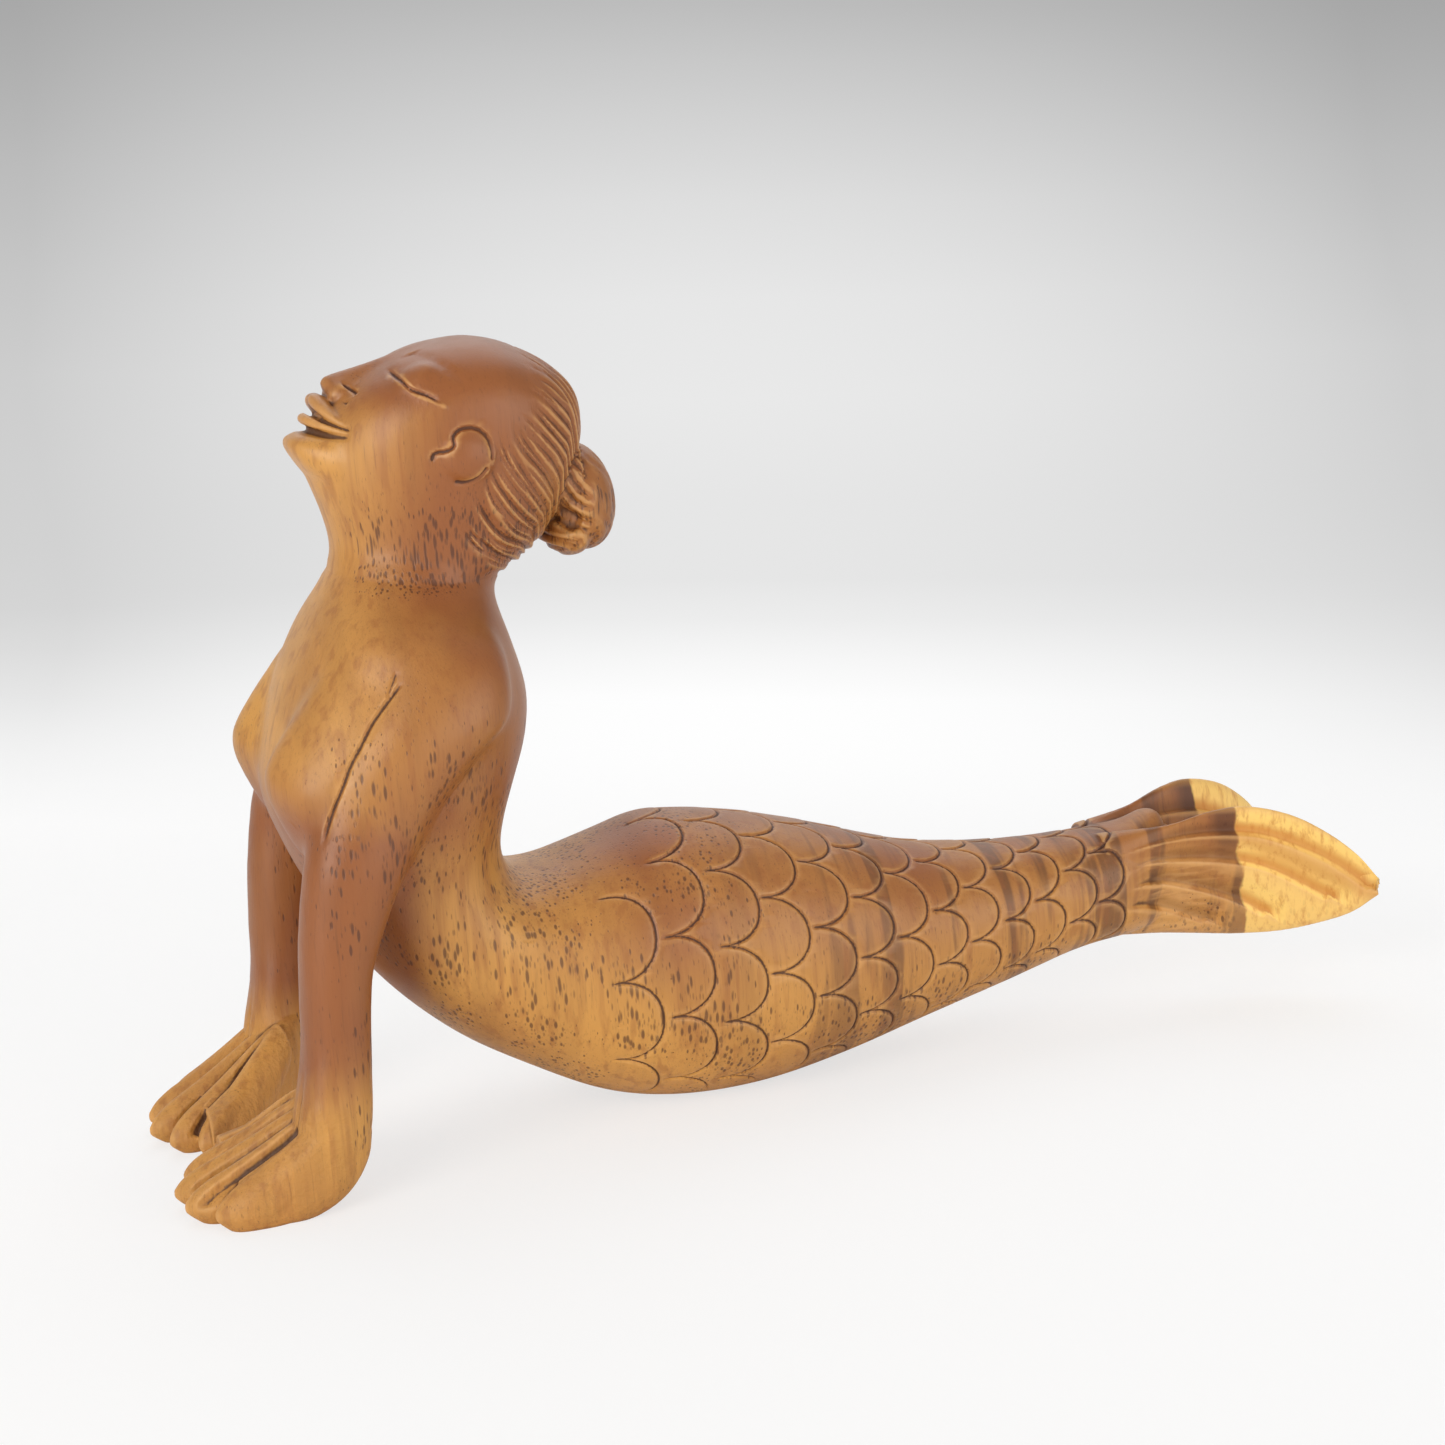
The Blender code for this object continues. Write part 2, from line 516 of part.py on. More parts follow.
def level_base(obj):
    """Sawn flat at the floor: both hands and the belly get their resting faces."""
    bm = bmesh.new()
    bm.from_mesh(obj.data)
    everything = bm.verts[:] + bm.edges[:] + bm.faces[:]
    bmesh.ops.bisect_plane(bm, geom=everything, dist=1e-6, plane_co=(0, 0, 0), plane_no=(0, 0, -1),
                           clear_outer=True)
    rim = [edge for edge in bm.edges if edge.is_boundary]
    bmesh.ops.triangle_fill(bm, edges=rim, use_beauty=True, normal=(0, 0, -1))
    bmesh.ops.triangulate(bm, faces=bm.faces)
    bmesh.ops.recalc_face_normals(bm, faces=bm.faces)
    bm.to_mesh(obj.data)
    bm.free()


def wood():
    material = bpy.data.materials.new("waxed_hardwood")
    material.use_nodes = True
    shader = material.node_tree.nodes["Principled BSDF"]
    shader.inputs["Base Color"].default_value = WOOD_COLOUR
    shader.inputs["Roughness"].default_value = 0.38
    shader.inputs["Metallic"].default_value = 0.0
    return material


def main():
    for obj in list(bpy.data.objects):
        bpy.data.objects.remove(obj)
    pairs = [make_arm(), make_breast()]
    pairs += [other_side(form) for form in pairs]
    masses = fuse("masses", [make_body(), make_head(), *pairs], ROUGH_GRID, smoothing=18)
    small = [make_hand(), *make_fingers(), make_lobe()]
    small += [other_side(form) for form in small]
    figure = fuse("mermaid_carving", [masses, *small, *make_face(), *make_bun()], FINE_GRID, smoothing=3)
    carve(figure.data)
    thin = figure.modifiers.new("Thin", "DECIMATE")
    thin.ratio = TRIANGLES / (2 * len(figure.data.polygons))
    evaluated_mesh(figure)
    level_base(figure)
    figure.data.materials.append(wood())
    figure.data.shade_smooth()


main()
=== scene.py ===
# %% [markdown]
# # A mermaid carved from one block of suar wood
#
# The real figure is one piece of hardwood. A carver sawed its side view from a block, rounded the
# masses, engraved the scales and the hair with a V tool, sanded it and rubbed in wax. The script
# works in that order too: rough masses, small forms, cuts, and then the wood as a material.
#
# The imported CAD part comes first. It gives the frame that everything else has to stay in.

# %% Load the frame
import math

import bmesh
import bpy
import numpy as np
from mathutils import Matrix, Vector


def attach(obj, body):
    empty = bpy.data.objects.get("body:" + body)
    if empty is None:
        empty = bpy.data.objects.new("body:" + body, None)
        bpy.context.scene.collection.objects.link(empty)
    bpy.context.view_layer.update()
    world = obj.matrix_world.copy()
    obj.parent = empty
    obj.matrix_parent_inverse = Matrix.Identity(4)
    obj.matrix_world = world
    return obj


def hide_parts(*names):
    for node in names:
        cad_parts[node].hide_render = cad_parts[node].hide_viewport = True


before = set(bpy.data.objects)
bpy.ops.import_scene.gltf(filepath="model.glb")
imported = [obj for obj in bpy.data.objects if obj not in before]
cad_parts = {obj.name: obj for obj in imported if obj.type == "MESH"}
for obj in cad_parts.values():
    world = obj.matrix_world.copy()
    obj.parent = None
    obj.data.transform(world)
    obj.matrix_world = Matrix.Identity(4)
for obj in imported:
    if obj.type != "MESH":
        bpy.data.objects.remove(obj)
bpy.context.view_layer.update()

# %% [markdown]
# ## The camera
#
# The figure was photographed from its left side, a little above it and a little behind the face.
# The place, the turns and the lens come from matching points of the carving whose place is known,
# such as the palms, the belly and both tips of the fin.

# %% Camera
MM = 0.001
CAMERA_AT = Vector((-203.4, -600.4, 233.4)) * MM
CAMERA_YAW = 0.3130
CAMERA_PITCH = 0.2287
CAMERA_ROLL = 0.0676
CAMERA_LENS = 68.78


def camera_matrix(yaw, pitch, roll):
    """Turned right by yaw, down by pitch, and then rolled about its own axis, all in radians."""
    ahead = Vector((math.sin(yaw) * math.cos(pitch), math.cos(yaw) * math.cos(pitch), -math.sin(pitch)))
    right = ahead.cross(Vector((0, 0, 1))).normalized()
    up = right.cross(ahead)
    across = right * math.cos(roll) - up * math.sin(roll)
    upright = right * math.sin(roll) + up * math.cos(roll)
    return Matrix((across, upright, -ahead)).transposed().to_4x4()


camera = bpy.data.objects.new("camera", bpy.data.cameras.new("camera"))
camera.data.lens = CAMERA_LENS
turned = camera_matrix(CAMERA_YAW, CAMERA_PITCH, CAMERA_ROLL)
camera.matrix_world = Matrix.Translation(CAMERA_AT) @ turned
bpy.context.scene.collection.objects.link(camera)
bpy.context.scene.camera = camera
print("camera looks along", [round(v, 3) for v in -camera.matrix_world.col[2].xyz])

# %% [markdown]
# ## Drawing on the side of the block
#
# A carver draws the outline on the block and saws round it. Every form below is placed in that
# drawing, in millimetres: x along the floor from the face to the tail tip, z up, and y across the
# block, where minus is the figure's left side and faces the camera.
#
# The drawing gives a few points of each curve. A Catmull-Rom curve passes through all of them, so
# a short table of sections is enough for a smooth limb.

# %% Points and curves


def drawn(x, z, y=0.0):
    """A point of the side view, at y to the side, from millimetres to metres."""
    return Vector((x, y, z)) * MM


def curve_through(rows, steps):
    """Rows of numbers joined by a smooth curve that passes through each of them."""
    rows = np.asarray(rows, dtype=float)
    padded = np.vstack([2 * rows[0] - rows[1], rows, 2 * rows[-1] - rows[-2]])
    out = []
    for before, start, end, after in zip(padded, padded[1:], padded[2:], padded[3:]):
        for t in np.arange(steps) / steps:
            bend = (2 * before - 5 * start + 4 * end - after) * t ** 2
            twist = (3 * start - before - 3 * end + after) * t ** 3
            out.append(0.5 * (2 * start + (end - before) * t + bend + twist))
    out.append(rows[-1])
    return np.array(out)


def ramp(value, start, end):
    """0 at start and 1 at end, with a soft change between. The start may be the larger one."""
    t = np.clip((value - start) / (end - start), 0, 1)
    return t * t * (3 - 2 * t)


def new_object(name, bm):
    """A bmesh as an object of the scene, with its faces pointing out."""
    bmesh.ops.recalc_face_normals(bm, faces=bm.faces)
    mesh = bpy.data.meshes.new(name)
    bm.to_mesh(mesh)
    bm.free()
    obj = bpy.data.objects.new(name, mesh)
    bpy.context.scene.collection.objects.link(obj)
    return obj


print("a curve through 3 points in 2 steps has", len(curve_through([[0.0], [1.0], [4.0]], 2)), "points")

# %% [markdown]
# ## Limbs as lofts
#
# A limb is a loft: rings placed along it and bridged, as a boat is planked over its frames. Each
# ring is a circle squashed to its section. The squareness is the power of a superellipse: 2 is an
# ellipse, and more brings the flat sides that a gouge leaves on a sawn block.

# %% Lofts and balls


def loft(name, sections, steps=5, sides=40, squareness=2.2):
    """A closed form through rings. A section is a centre, a half depth and a half width vector."""
    rows = [[*centre, *depth, *width] for centre, depth, width in sections]
    bm = bmesh.new()
    rings = []
    for row in curve_through(rows, steps):
        centre, depth, width = Vector(row[0:3]), Vector(row[3:6]), Vector(row[6:9])
        verts = bmesh.ops.create_circle(bm, segments=sides, radius=1.0)["verts"]
        for vert in verts:
            a = math.copysign(abs(vert.co.x) ** (2 / squareness), vert.co.x)
            b = math.copysign(abs(vert.co.y) ** (2 / squareness), vert.co.y)
            vert.co = centre + depth * a + width * b
        rings.append((verts, list({edge for vert in verts for edge in vert.link_edges})))
    for (_, edges), (_, next_edges) in zip(rings, rings[1:]):
        bmesh.ops.bridge_loops(bm, edges=edges + next_edges)
    for verts, _ in (rings[0], rings[-1]):
        bmesh.ops.contextual_create(bm, geom=verts)
    return new_object(name, bm)


def section(front, back, half_width, y=0.0):
    """A ring between two points of the side view, half_width to each side of y."""
    front, back = drawn(*front, y), drawn(*back, y)
    return (front + back) / 2, (front - back) / 2, Vector((0, half_width * MM, 0))


def limb(name, rows, y=0.0, **shape):
    """A loft through rows of a front point, a back point and a half width, all at the same y."""
    return loft(name, [section(*row, y) for row in rows], **shape)


def ball(name, x, z, y, long, high, half_width, lean=0.0):
    """An ellipsoid at a point of the side view, leaning by an angle in degrees."""
    turned = Matrix.Rotation(math.radians(lean), 4, "Y")
    sized = Matrix.Diagonal((*drawn(long, high, half_width), 1))
    place = Matrix.Translation(drawn(x, z, y)) @ turned @ sized
    bm = bmesh.new()
    bmesh.ops.create_uvsphere(bm, u_segments=32, v_segments=20, radius=1.0, matrix=place)
    return new_object(name, bm)


def other_side(obj):
    """The same form on the right side of the block."""
    bm = bmesh.new()
    bm.from_mesh(obj.data)
    bmesh.ops.scale(bm, vec=(1, -1, 1), verts=bm.verts)
    return new_object(obj.name + "_right", bm)


# %% [markdown]
# ## Torso and tail
#
# The spine of the figure is one long mass: neck, arched back, belly on the floor, hips and the
# tapering tail. As one loft it has no seam. The rings turn with the spine, from level at the neck
# to upright at the hip.

# %% Torso and tail
HIP, TAIL = 30.5, 13.0
TAIL_ROWS = [(-28, -0.6, 67.6, HIP), (-8, -0.8, 64.6, HIP * 0.97), (13, 2.6, 58.4, HIP * 0.88),
             (35, 7.8, 50.9, HIP * 0.74), (57, 12.6, 47.4, HIP * 0.60), (77, 17.2, 46.6, TAIL * 1.15),
             (92, 18.5, 47.4, TAIL)]


def make_body():
    neck, chest, waist = 18.5, 30.0, 25.0
    torso = [section((-96.4, 138), (-60, 134), neck * 0.95),
             section((-99.8, 130.8), (-62.2, 126), neck * 1.20),
             section((-106, 121.5), (-59.8, 115), chest * 1.10),
             section((-112, 110), (-57.2, 103.5), chest * 1.17),
             section((-115.8, 98), (-58.2, 93), chest * 1.12),
             section((-117.9, 86), (-61.4, 84.5), chest * 1.14),
             section((-115, 75), (-64.8, 74.5), waist * 1.25),
             section((-109, 61), (-66, 66.5), waist * 1.12),
             section((-97.6, 41.4), (-63.2, 60.5), waist * 1.09),
             section((-81.5, 24.8), (-55, 60.4), waist * 1.10),
             section((-63.6, 12.9), (-47, 62.6), HIP * 0.95),
             section((-46, 3.6), (-38, 65.3), HIP * 0.99)]
    tail = [section((x, low), (x, top), half) for x, low, top, half in TAIL_ROWS]
    root = [section((103, 19.4), (103, 50), 9.4), section((110, 20), (110, 38), 4.2)]
    return loft("body", torso + tail + root)


body = make_body()
print("body loft:", len(body.data.vertices), "vertices")

# %% [markdown]
# ## Head, arms and breasts
#
# The head is a loft of level rings, from the nape to the crown, because its turn to the sky comes
# from how far each ring reaches forward. The arms are lofts that start inside the shoulder, so
# that the join can be blended later. Each breast is a blunt cone.

# %% Head, arms and breasts


def taper_face(head):
    """Brings the cheeks in towards the mouth, by moving the points of the head."""
    mesh = head.data
    flat = np.empty(len(mesh.vertices) * 3)
    mesh.vertices.foreach_get("co", flat)
    x, y, z = flat.reshape(-1, 3).T / MM
    y *= 1 - 0.30 * ramp(-x, 84, 106) * ramp(z, 150, 158)
    mesh.vertices.foreach_set("co", (np.stack([x, y, z], axis=1) * MM).ravel())


def make_head():
    neck, head = 18.5, 23.0
    rows = [(123, -97, -63, neck), (129, -96.7, -61, neck * 0.98),
            (133.5, -96.8, -53, neck * 0.99), (141, -97.3, -46, head * 0.84),
            (149, -99.2, -41.4, head * 0.92), (157, -102, -39, head * 0.98),
            (163, -101.2, -38.4, head), (168, -97.4, -39.6, head),
            (173, -91.4, -43.8, head * 0.94), (177.2, -83.6, -49.4, head * 0.80),
            (180.4, -76.5, -55.4, head * 0.56), (182.1, -67, -62, head * 0.20)]
    made = loft("head", [section((front, z), (back, z), half) for z, front, back, half in rows])
    taper_face(made)
    return made


def make_arm():
    half, top, wrist = 8.5, -30.9, -33.5
    rows = [((-84, 122), (-67, 120), half * 0.75, top * 0.72),
            ((-91.5, 116), (-66, 113.5), half * 1.04, top * 0.87),
            ((-98.8, 107.2), (-67, 102.5), half * 1.15, top * 0.98),
            ((-105, 99), (-74.6, 95.5), half * 1.22, top),
            ((-111, 88.5), (-86, 83.5), half * 1.14, top),
            ((-115.2, 78), (-94.6, 70.5), half * 1.06, wrist),
            ((-117.4, 67.5), (-99.6, 60), half, wrist),
            ((-118.9, 56.5), (-103, 51), half * 0.98, wrist),
            ((-119.7, 45.5), (-104, 44), half * 0.97, wrist),
            ((-120, 34.5), (-105, 33), half * 0.97, wrist),
            ((-119.8, 24), (-106, 20), half * 1.02, wrist),
            ((-119, 13), (-108, 11), half * 1.05, wrist)]
    return loft("arm", [section(*row) for row in rows], squareness=2.3)


def make_breast():
    """A blunt pyramid with ridges above, below and to the side. Its lower ridge runs to the waist."""
    half, y = 18.5, -22.0
    rows = [((-90, 127), (-86, 84), 0.70), ((-103, 117.4), (-101, 74), 0.84),
            ((-111.6, 107.8), (-112.6, 74), 0.76), ((-117.4, 100.2), (-118.2, 84), 0.45),
            ((-120.3, 95.6), (-120.8, 91.0), 0.14)]
    rows = [(front, back, half * wide) for front, back, wide in rows]
    return limb("breast", rows, y, squareness=1.45)


def make_wrist():
    """The flare where the arm turns into the back of the hand."""
    rows = [((-118.8, 44), (-108, 42), 7.5), ((-120.2, 36), (-108, 34), 8.6),
            ((-121.2, 29.5), (-109, 27), 9.4), ((-122.6, 24), (-110, 20), 9.8),
            ((-124.0, 17.5), (-111, 13), 10.0), ((-124.6, 11), (-112, 8), 10.0)]
    return limb("wrist", rows, y=-33.0, squareness=2.3)


head, arm, breast, wrist = make_head(), make_arm(), make_breast(), make_wrist()
masses = [body, head, arm, breast, wrist, other_side(arm), other_side(breast), other_side(wrist)]
print("big masses:", [form.name for form in masses])

# %% [markdown]
# ## Fusing the masses
#
# In the wood the masses flow into each other. A voxel Remesh puts one skin over all of them, and
# a Smooth modifier wears the joins down, as a rasp does. That is quick on a coarse skin, and the
# Subdivision Surface afterwards rounds off its facets.

# %% Fuse
ROUGH_GRID = 1.3 * MM
FINE_GRID = 0.36 * MM


def keep_evaluated(obj):
    """Applies the modifiers: the mesh they leave replaces the plain one."""
    graph = bpy.context.evaluated_depsgraph_get()
    mesh = bpy.data.meshes.new_from_object(obj.evaluated_get(graph))
    obj.modifiers.clear()
    obj.data = mesh


def fuse(name, forms, grid, smoothing):
    """Several closed forms as one skin on a voxel grid, with the joins smoothed."""
    bm = bmesh.new()
    for form in forms:
        bm.from_mesh(form.data)
        bpy.data.objects.remove(form)
    obj = new_object(name, bm)
    remesh = obj.modifiers.new("Fuse", "REMESH")
    remesh.mode = "VOXEL"
    remesh.voxel_size = grid
    blend = obj.modifiers.new("Blend", "SMOOTH")
    blend.factor = 0.5
    blend.iterations = smoothing
    keep_evaluated(obj)
    return obj


torso = fuse("masses", masses, ROUGH_GRID, smoothing=28)
rounding = torso.modifiers.new("Round", "SUBSURF")
rounding.levels = rounding.render_levels = 1
keep_evaluated(torso)
print("fused masses:", len(torso.data.polygons), "faces")

# %% [markdown]
# ## Hands
#
# Each hand is a wedge under the wrist, splayed outward, with five tapered fingers that fan from
# it. They are separate lofts with tips of their own, so the notches between the fingertips are
# real, and the fuse joins them further back.

# %% Hands
HAND, FINGER_HALF = 43.0, 4.9
FINGER_ROOTS = [(-117, 0.50), (-115, 0.58), (-114, 0.68), (-114, 0.80), (-113, 0.89)]
FINGER_TIPS = [(-139.8, 0.11), (-145.8, 0.26), (-149.2, 0.48), (-148.2, 0.70), (-142.8, 0.885)]


def make_hand():
    rows = [(-107.2, 15, 21, 0.74, 0.86), (-108.6, 10, 24.5, 0.64, 0.92), (-112, 4.5, 26, 0.53, 0.96),
            (-117, 0.5, 24, 0.42, 0.99), (-124, -2, 18, 0.28, 1.0), (-131, -2, 13.8, 0.15, 0.98),
            (-137, -2, 10.6, 0.05, 0.94)]
    rings = []
    for x, low, top, inner, rim in rows:
        centre = drawn(x, (low + top) / 2, -HAND * (inner + rim) / 2)
        rings.append((centre, drawn(0, (top - low) / 2), drawn(0, 0, HAND * (rim - inner) / 2)))
    return loft("hand", rings, steps=4, squareness=3.6)


def make_finger(root, tip):
    """A finger that is widest at two thirds of its length and ends in a point over the floor."""
    profile = [(0.0, 0.80, 12, 24.5), (0.25, 0.86, 3, 20.4), (0.50, 0.97, -2, 15.4),
               (0.70, 1.0, -2, 11.6), (0.84, 0.84, -1.4, 9.2), (0.94, 0.48, 0.8, 6.8),
               (1.0, 0.08, 2.6, 4.4)]
    start, end = drawn(root[0], 0, -HAND * root[1]), drawn(tip[0], 0, -HAND * tip[1])
    aside = (end - start).cross(Vector((0, 0, 1))).normalized()
    rings = []
    for share, wide, low, top in profile:
        centre = start.lerp(end, share) + drawn(0, (top + low) / 2)
        rings.append((centre, drawn(0, (top - low) / 2), aside * FINGER_HALF * MM * wide))
    return loft("finger", rings, steps=4, sides=28, squareness=1.7)


hand_forms = [make_hand()] + [make_finger(root, tip) for root, tip in zip(FINGER_ROOTS, FINGER_TIPS)]
print("hand of", len(hand_forms), "forms")

# %% [markdown]
# ## The fin
#
# The tail ends in two lobes that stand up and open like a book. Each lobe is a curved blade: its
# sections run from the foot, near the middle, to the top edge, and lean out more towards the tip.

# %% Fin


def make_lobe():
    side, half_thickness = 29.0, 3.0
    rows = [(84, 19.8, 0.02, 46.4, 0.24, 2.2), (92, 18.6, 0.05, 47.2, 0.31, 1.8),
            (101, 17.8, 0.10, 48.4, 0.40, 1.35), (111, 16.5, 0.17, 50.4, 0.48, 1.05),
            (120, 15.7, 0.27, 50.7, 0.56, 0.95), (130, 16, 0.42, 47.8, 0.66, 0.9),
            (138, 18.2, 0.60, 43, 0.78, 0.85), (144.5, 21.3, 0.77, 37.4, 0.89, 0.75),
            (149.2, 26.4, 0.94, 31.4, 1.0, 0.4)]
    rings = []
    for x, low, inner, top, rim, thick in rows:
        foot, edge = drawn(x, low, -side * inner), drawn(x, top, -side * rim)
        across = (edge - foot).cross(Vector((1, 0, 0))).normalized()
        rings.append(((foot + edge) / 2, (edge - foot) / 2, across * half_thickness * MM * thick))
    return loft("lobe", rings, squareness=2.3)


lobe = make_lobe()
print("lobe reaches x =", round(max(v.co.x for v in lobe.data.vertices) / MM, 1), "mm")

# %% [markdown]
# ## The face and the bun
#
# The face is a simple folk face turned to the sky: a straight nose, leaf-shaped lips, closed
# eyes. A carver leaves those as small blocks and rounds them, so here they are small lofts and
# balls, which the fine fuse joins to the head. A lip is a loft across the mouth, from corner to
# corner, thick in the middle. The bun is an upright roll behind the head.

# %% Face and bun


def make_nose():
    rows = [((-67, 181.0), (-67, 174), 2.0), ((-73, 181.5), (-72, 174), 3.2),
            ((-79, 179.9), (-77, 173), 3.4), ((-86.5, 178.0), (-84, 170), 3.8),
            ((-92, 176.8), (-89, 168), 4.6), ((-95.2, 176.0), (-91.5, 168.6), 4.4),
            ((-96.2, 174.6), (-94, 170.5), 2.6)]
    return limb("nose", rows, sides=28, squareness=1.6)


def make_chin():
    """A wedge with a flat top, as wide as the mouth where it leaves the jaw."""
    rows = [((-90, 166.4), (-90, 150), 15), ((-96.4, 165.6), (-96.4, 151), 13),
            ((-101, 164.8), (-101, 155), 9.8), ((-103.8, 163.9), (-103.8, 159.2), 6.8),
            ((-105, 163.4), (-105, 161.4), 4.0)]
    return limb("chin", rows, squareness=2.3)


def make_lip(name, rows, forward):
    """A loft from corner to corner. A row is y, x, z, how far it stands out, and its thickness."""
    out = drawn(*forward).normalized()
    across = out.cross(Vector((0, 1, 0)))
    rings = []
    for y, x, z, stands, thick in rows + [(-y, *rest) for y, *rest in reversed(rows[:-1])]:
        rings.append((drawn(x, z, y), out * stands * MM, across * thick * MM))
    return loft(name, rings, sides=24, squareness=2.0)


upper_lip = make_lip("upper_lip", [(-11.6, -93.9, 166.5, 0.5, 0.4), (-8.6, -95.6, 168.0, 1.4, 1.0),
                                   (-5.4, -96.6, 169.6, 1.9, 1.5), (-2.2, -97.2, 170.8, 2.1, 1.7),
                                   (0.0, -97.2, 171.0, 1.9, 1.5)], forward=(-0.93, 0.37))
lower_lip = make_lip("lower_lip", [(-13.4, -92.3, 164.6, 0.5, 0.4), (-10.4, -95.0, 165.3, 1.2, 0.9),
                                   (-7.0, -97.4, 166.0, 1.7, 1.2), (-3.5, -99.0, 166.8, 2.0, 1.35),
                                   (0.0, -99.5, 167.1, 2.1, 1.4)], forward=(-0.97, 0.25))
bun = [ball("bun", -39.9, 143.8, 0, 8.0, 12.4, 12.3, lean=-8),
       ball("bun_foot", -43.5, 136.2, 0, 6.0, 5.2, 10.6, lean=10),
       limb("bun_root", [((-51, 160), (-51, 139), 11), ((-41, 157.5), (-41, 140.5), 11.5)])]
EAR_Y, EYE_Y = -21.9, -14.2
sides = [ball("nostril", -92.4, 172.4, -3.6, 2.8, 2.3, 1.9, lean=-30),
         ball("eyelid", -77.8, 173.4, EYE_Y, 7.0, 4.2, 5.2, lean=-34),
         ball("ear", -69.6, 158.4, EAR_Y, 6.4, 5.7, 2.6, lean=25)]
sides += [other_side(form) for form in sides]
face_forms = [make_nose(), make_chin(), upper_lip, lower_lip, *sides]
print("face of", len(face_forms), "forms")

# %% [markdown]
# ## One skin, fine enough to engrave
#
# All forms meet on a second, finer grid. A cut of the V tool is about a millimetre wide, and a
# grid coarser than a third of that would make its edges look sawn.

# %% Fine skin
small_forms = hand_forms + [lobe]
small_forms += [other_side(form) for form in small_forms]
figure = fuse("mermaid_figurine", [torso, *small_forms, *face_forms, *bun], FINE_GRID, smoothing=4)
print("fine skin:", len(figure.data.polygons), "faces")

# %% [markdown]
# ## Sandpaper on the face
#
# Chin, eyelids and nose still meet the head in sharp corners, and sandpaper takes those down. Here
# each point moves towards the mean of its neighbours, again and again, by a share that is large
# on the cheeks and small on the lips, which stay crisp.

# %% Sandpaper
COUNT = len(figure.data.vertices)
SANDING, STEP = round(22 * (0.36 * MM / FINE_GRID) ** 2), 0.8


def read_points(mesh):
    """The places of the points in millimetres, and the way that the skin faces at each."""
    places, facing = np.empty(COUNT * 3), np.empty(COUNT * 3)
    mesh.vertices.foreach_get("co", places)
    mesh.vertices.foreach_get("normal", facing)
    return places.reshape(-1, 3) / MM, facing.reshape(-1, 3)


def read_edges(mesh):
    pairs = np.empty(len(mesh.edges) * 2, dtype=np.int32)
    mesh.edges.foreach_get("vertices", pairs)
    return pairs.reshape(-1, 2)


def neighbour_mean(values, pairs, count):
    """Each point's value becomes the mean of the points that it shares an edge with."""
    ends = np.concatenate([pairs[:, 0], pairs[:, 1]])
    others = np.concatenate([pairs[:, 1], pairs[:, 0]])
    neighbours = np.bincount(ends, minlength=count)
    sums = [np.bincount(ends, weights=column[others], minlength=count) for column in values.T]
    return np.stack(sums, axis=1) / np.maximum(neighbours, 1)[:, None]


mesh = figure.data
edges = read_edges(mesh)
points, normals = read_points(mesh)
x, y, z = points.T
lips = ramp(-x, 91, 94) * ramp(z, 162.6, 164.4) * ramp(-z, -174, -172)
sanded = ramp(-x, 62, 68) * ramp(z, 146, 152) * (1 - 0.8 * lips)
for _ in range(SANDING):
    points = points + (neighbour_mean(points, edges, COUNT) - points) * sanded[:, None] * STEP
mesh.vertices.foreach_set("co", (points * MM).ravel())
mesh.update()
points, normals = read_points(mesh)
x, y, z = points.T
print("sanded", int((sanded > 0.5).sum()), "points", SANDING, "times")

# %% [markdown]
# ## Cuts of the V tool
#
# Every cut is worked out as a depth at each point of the skin, and the points are then pushed in
# along their normals. The path of a cut is drawn in the side view by a few points, and its depth
# falls off with the distance from the path.

# %% Tools for cutting
sideways = np.abs(normals[:, 1])
depth = np.zeros(COUNT)


def follow(flat, path):
    """Distance of flat points from a smooth path, which side they lie on, and how far along."""
    path = curve_through(path, 4)
    nearest = np.full(len(flat), np.inf)
    side, along = np.zeros(len(flat)), np.zeros(len(flat))
    start_at = 0.0
    for start, end in zip(path, path[1:]):
        run = end - start
        length = np.hypot(*run)
        offset = flat - start
        share = np.clip(offset @ run / length ** 2, 0, 1)
        distance = np.hypot(*(offset - share[:, None] * run).T)
        closer = distance < nearest
        nearest[closer] = distance[closer]
        side[closer] = np.sign(run[0] * offset[:, 1] - run[1] * offset[:, 0])[closer]
        along[closer] = (start_at + share * length)[closer]
        start_at += length
    return nearest, side, along / start_at


def vee(distance, width, deep, power=1.0):
    """Depth of a V cut. A power over 1 makes the cut slim and the ground beside it round."""
    return deep * np.clip(1 - distance / (width / 2), 0, 1) ** power


def stroke(flat, path, width, deep, power=1.0, fade=(0.0, 0.0)):
    """One cut along a path. fade is the share of its length over which each end runs out."""
    distance, _, along = follow(flat, path)
    strength = np.ones(len(flat))
    if fade[0]:
        strength *= ramp(along, 0, fade[0])
    if fade[1]:
        strength *= ramp(1 - along, 0, fade[1])
    return vee(distance, width, deep, power) * strength


print("skin to engrave:", COUNT, "points")
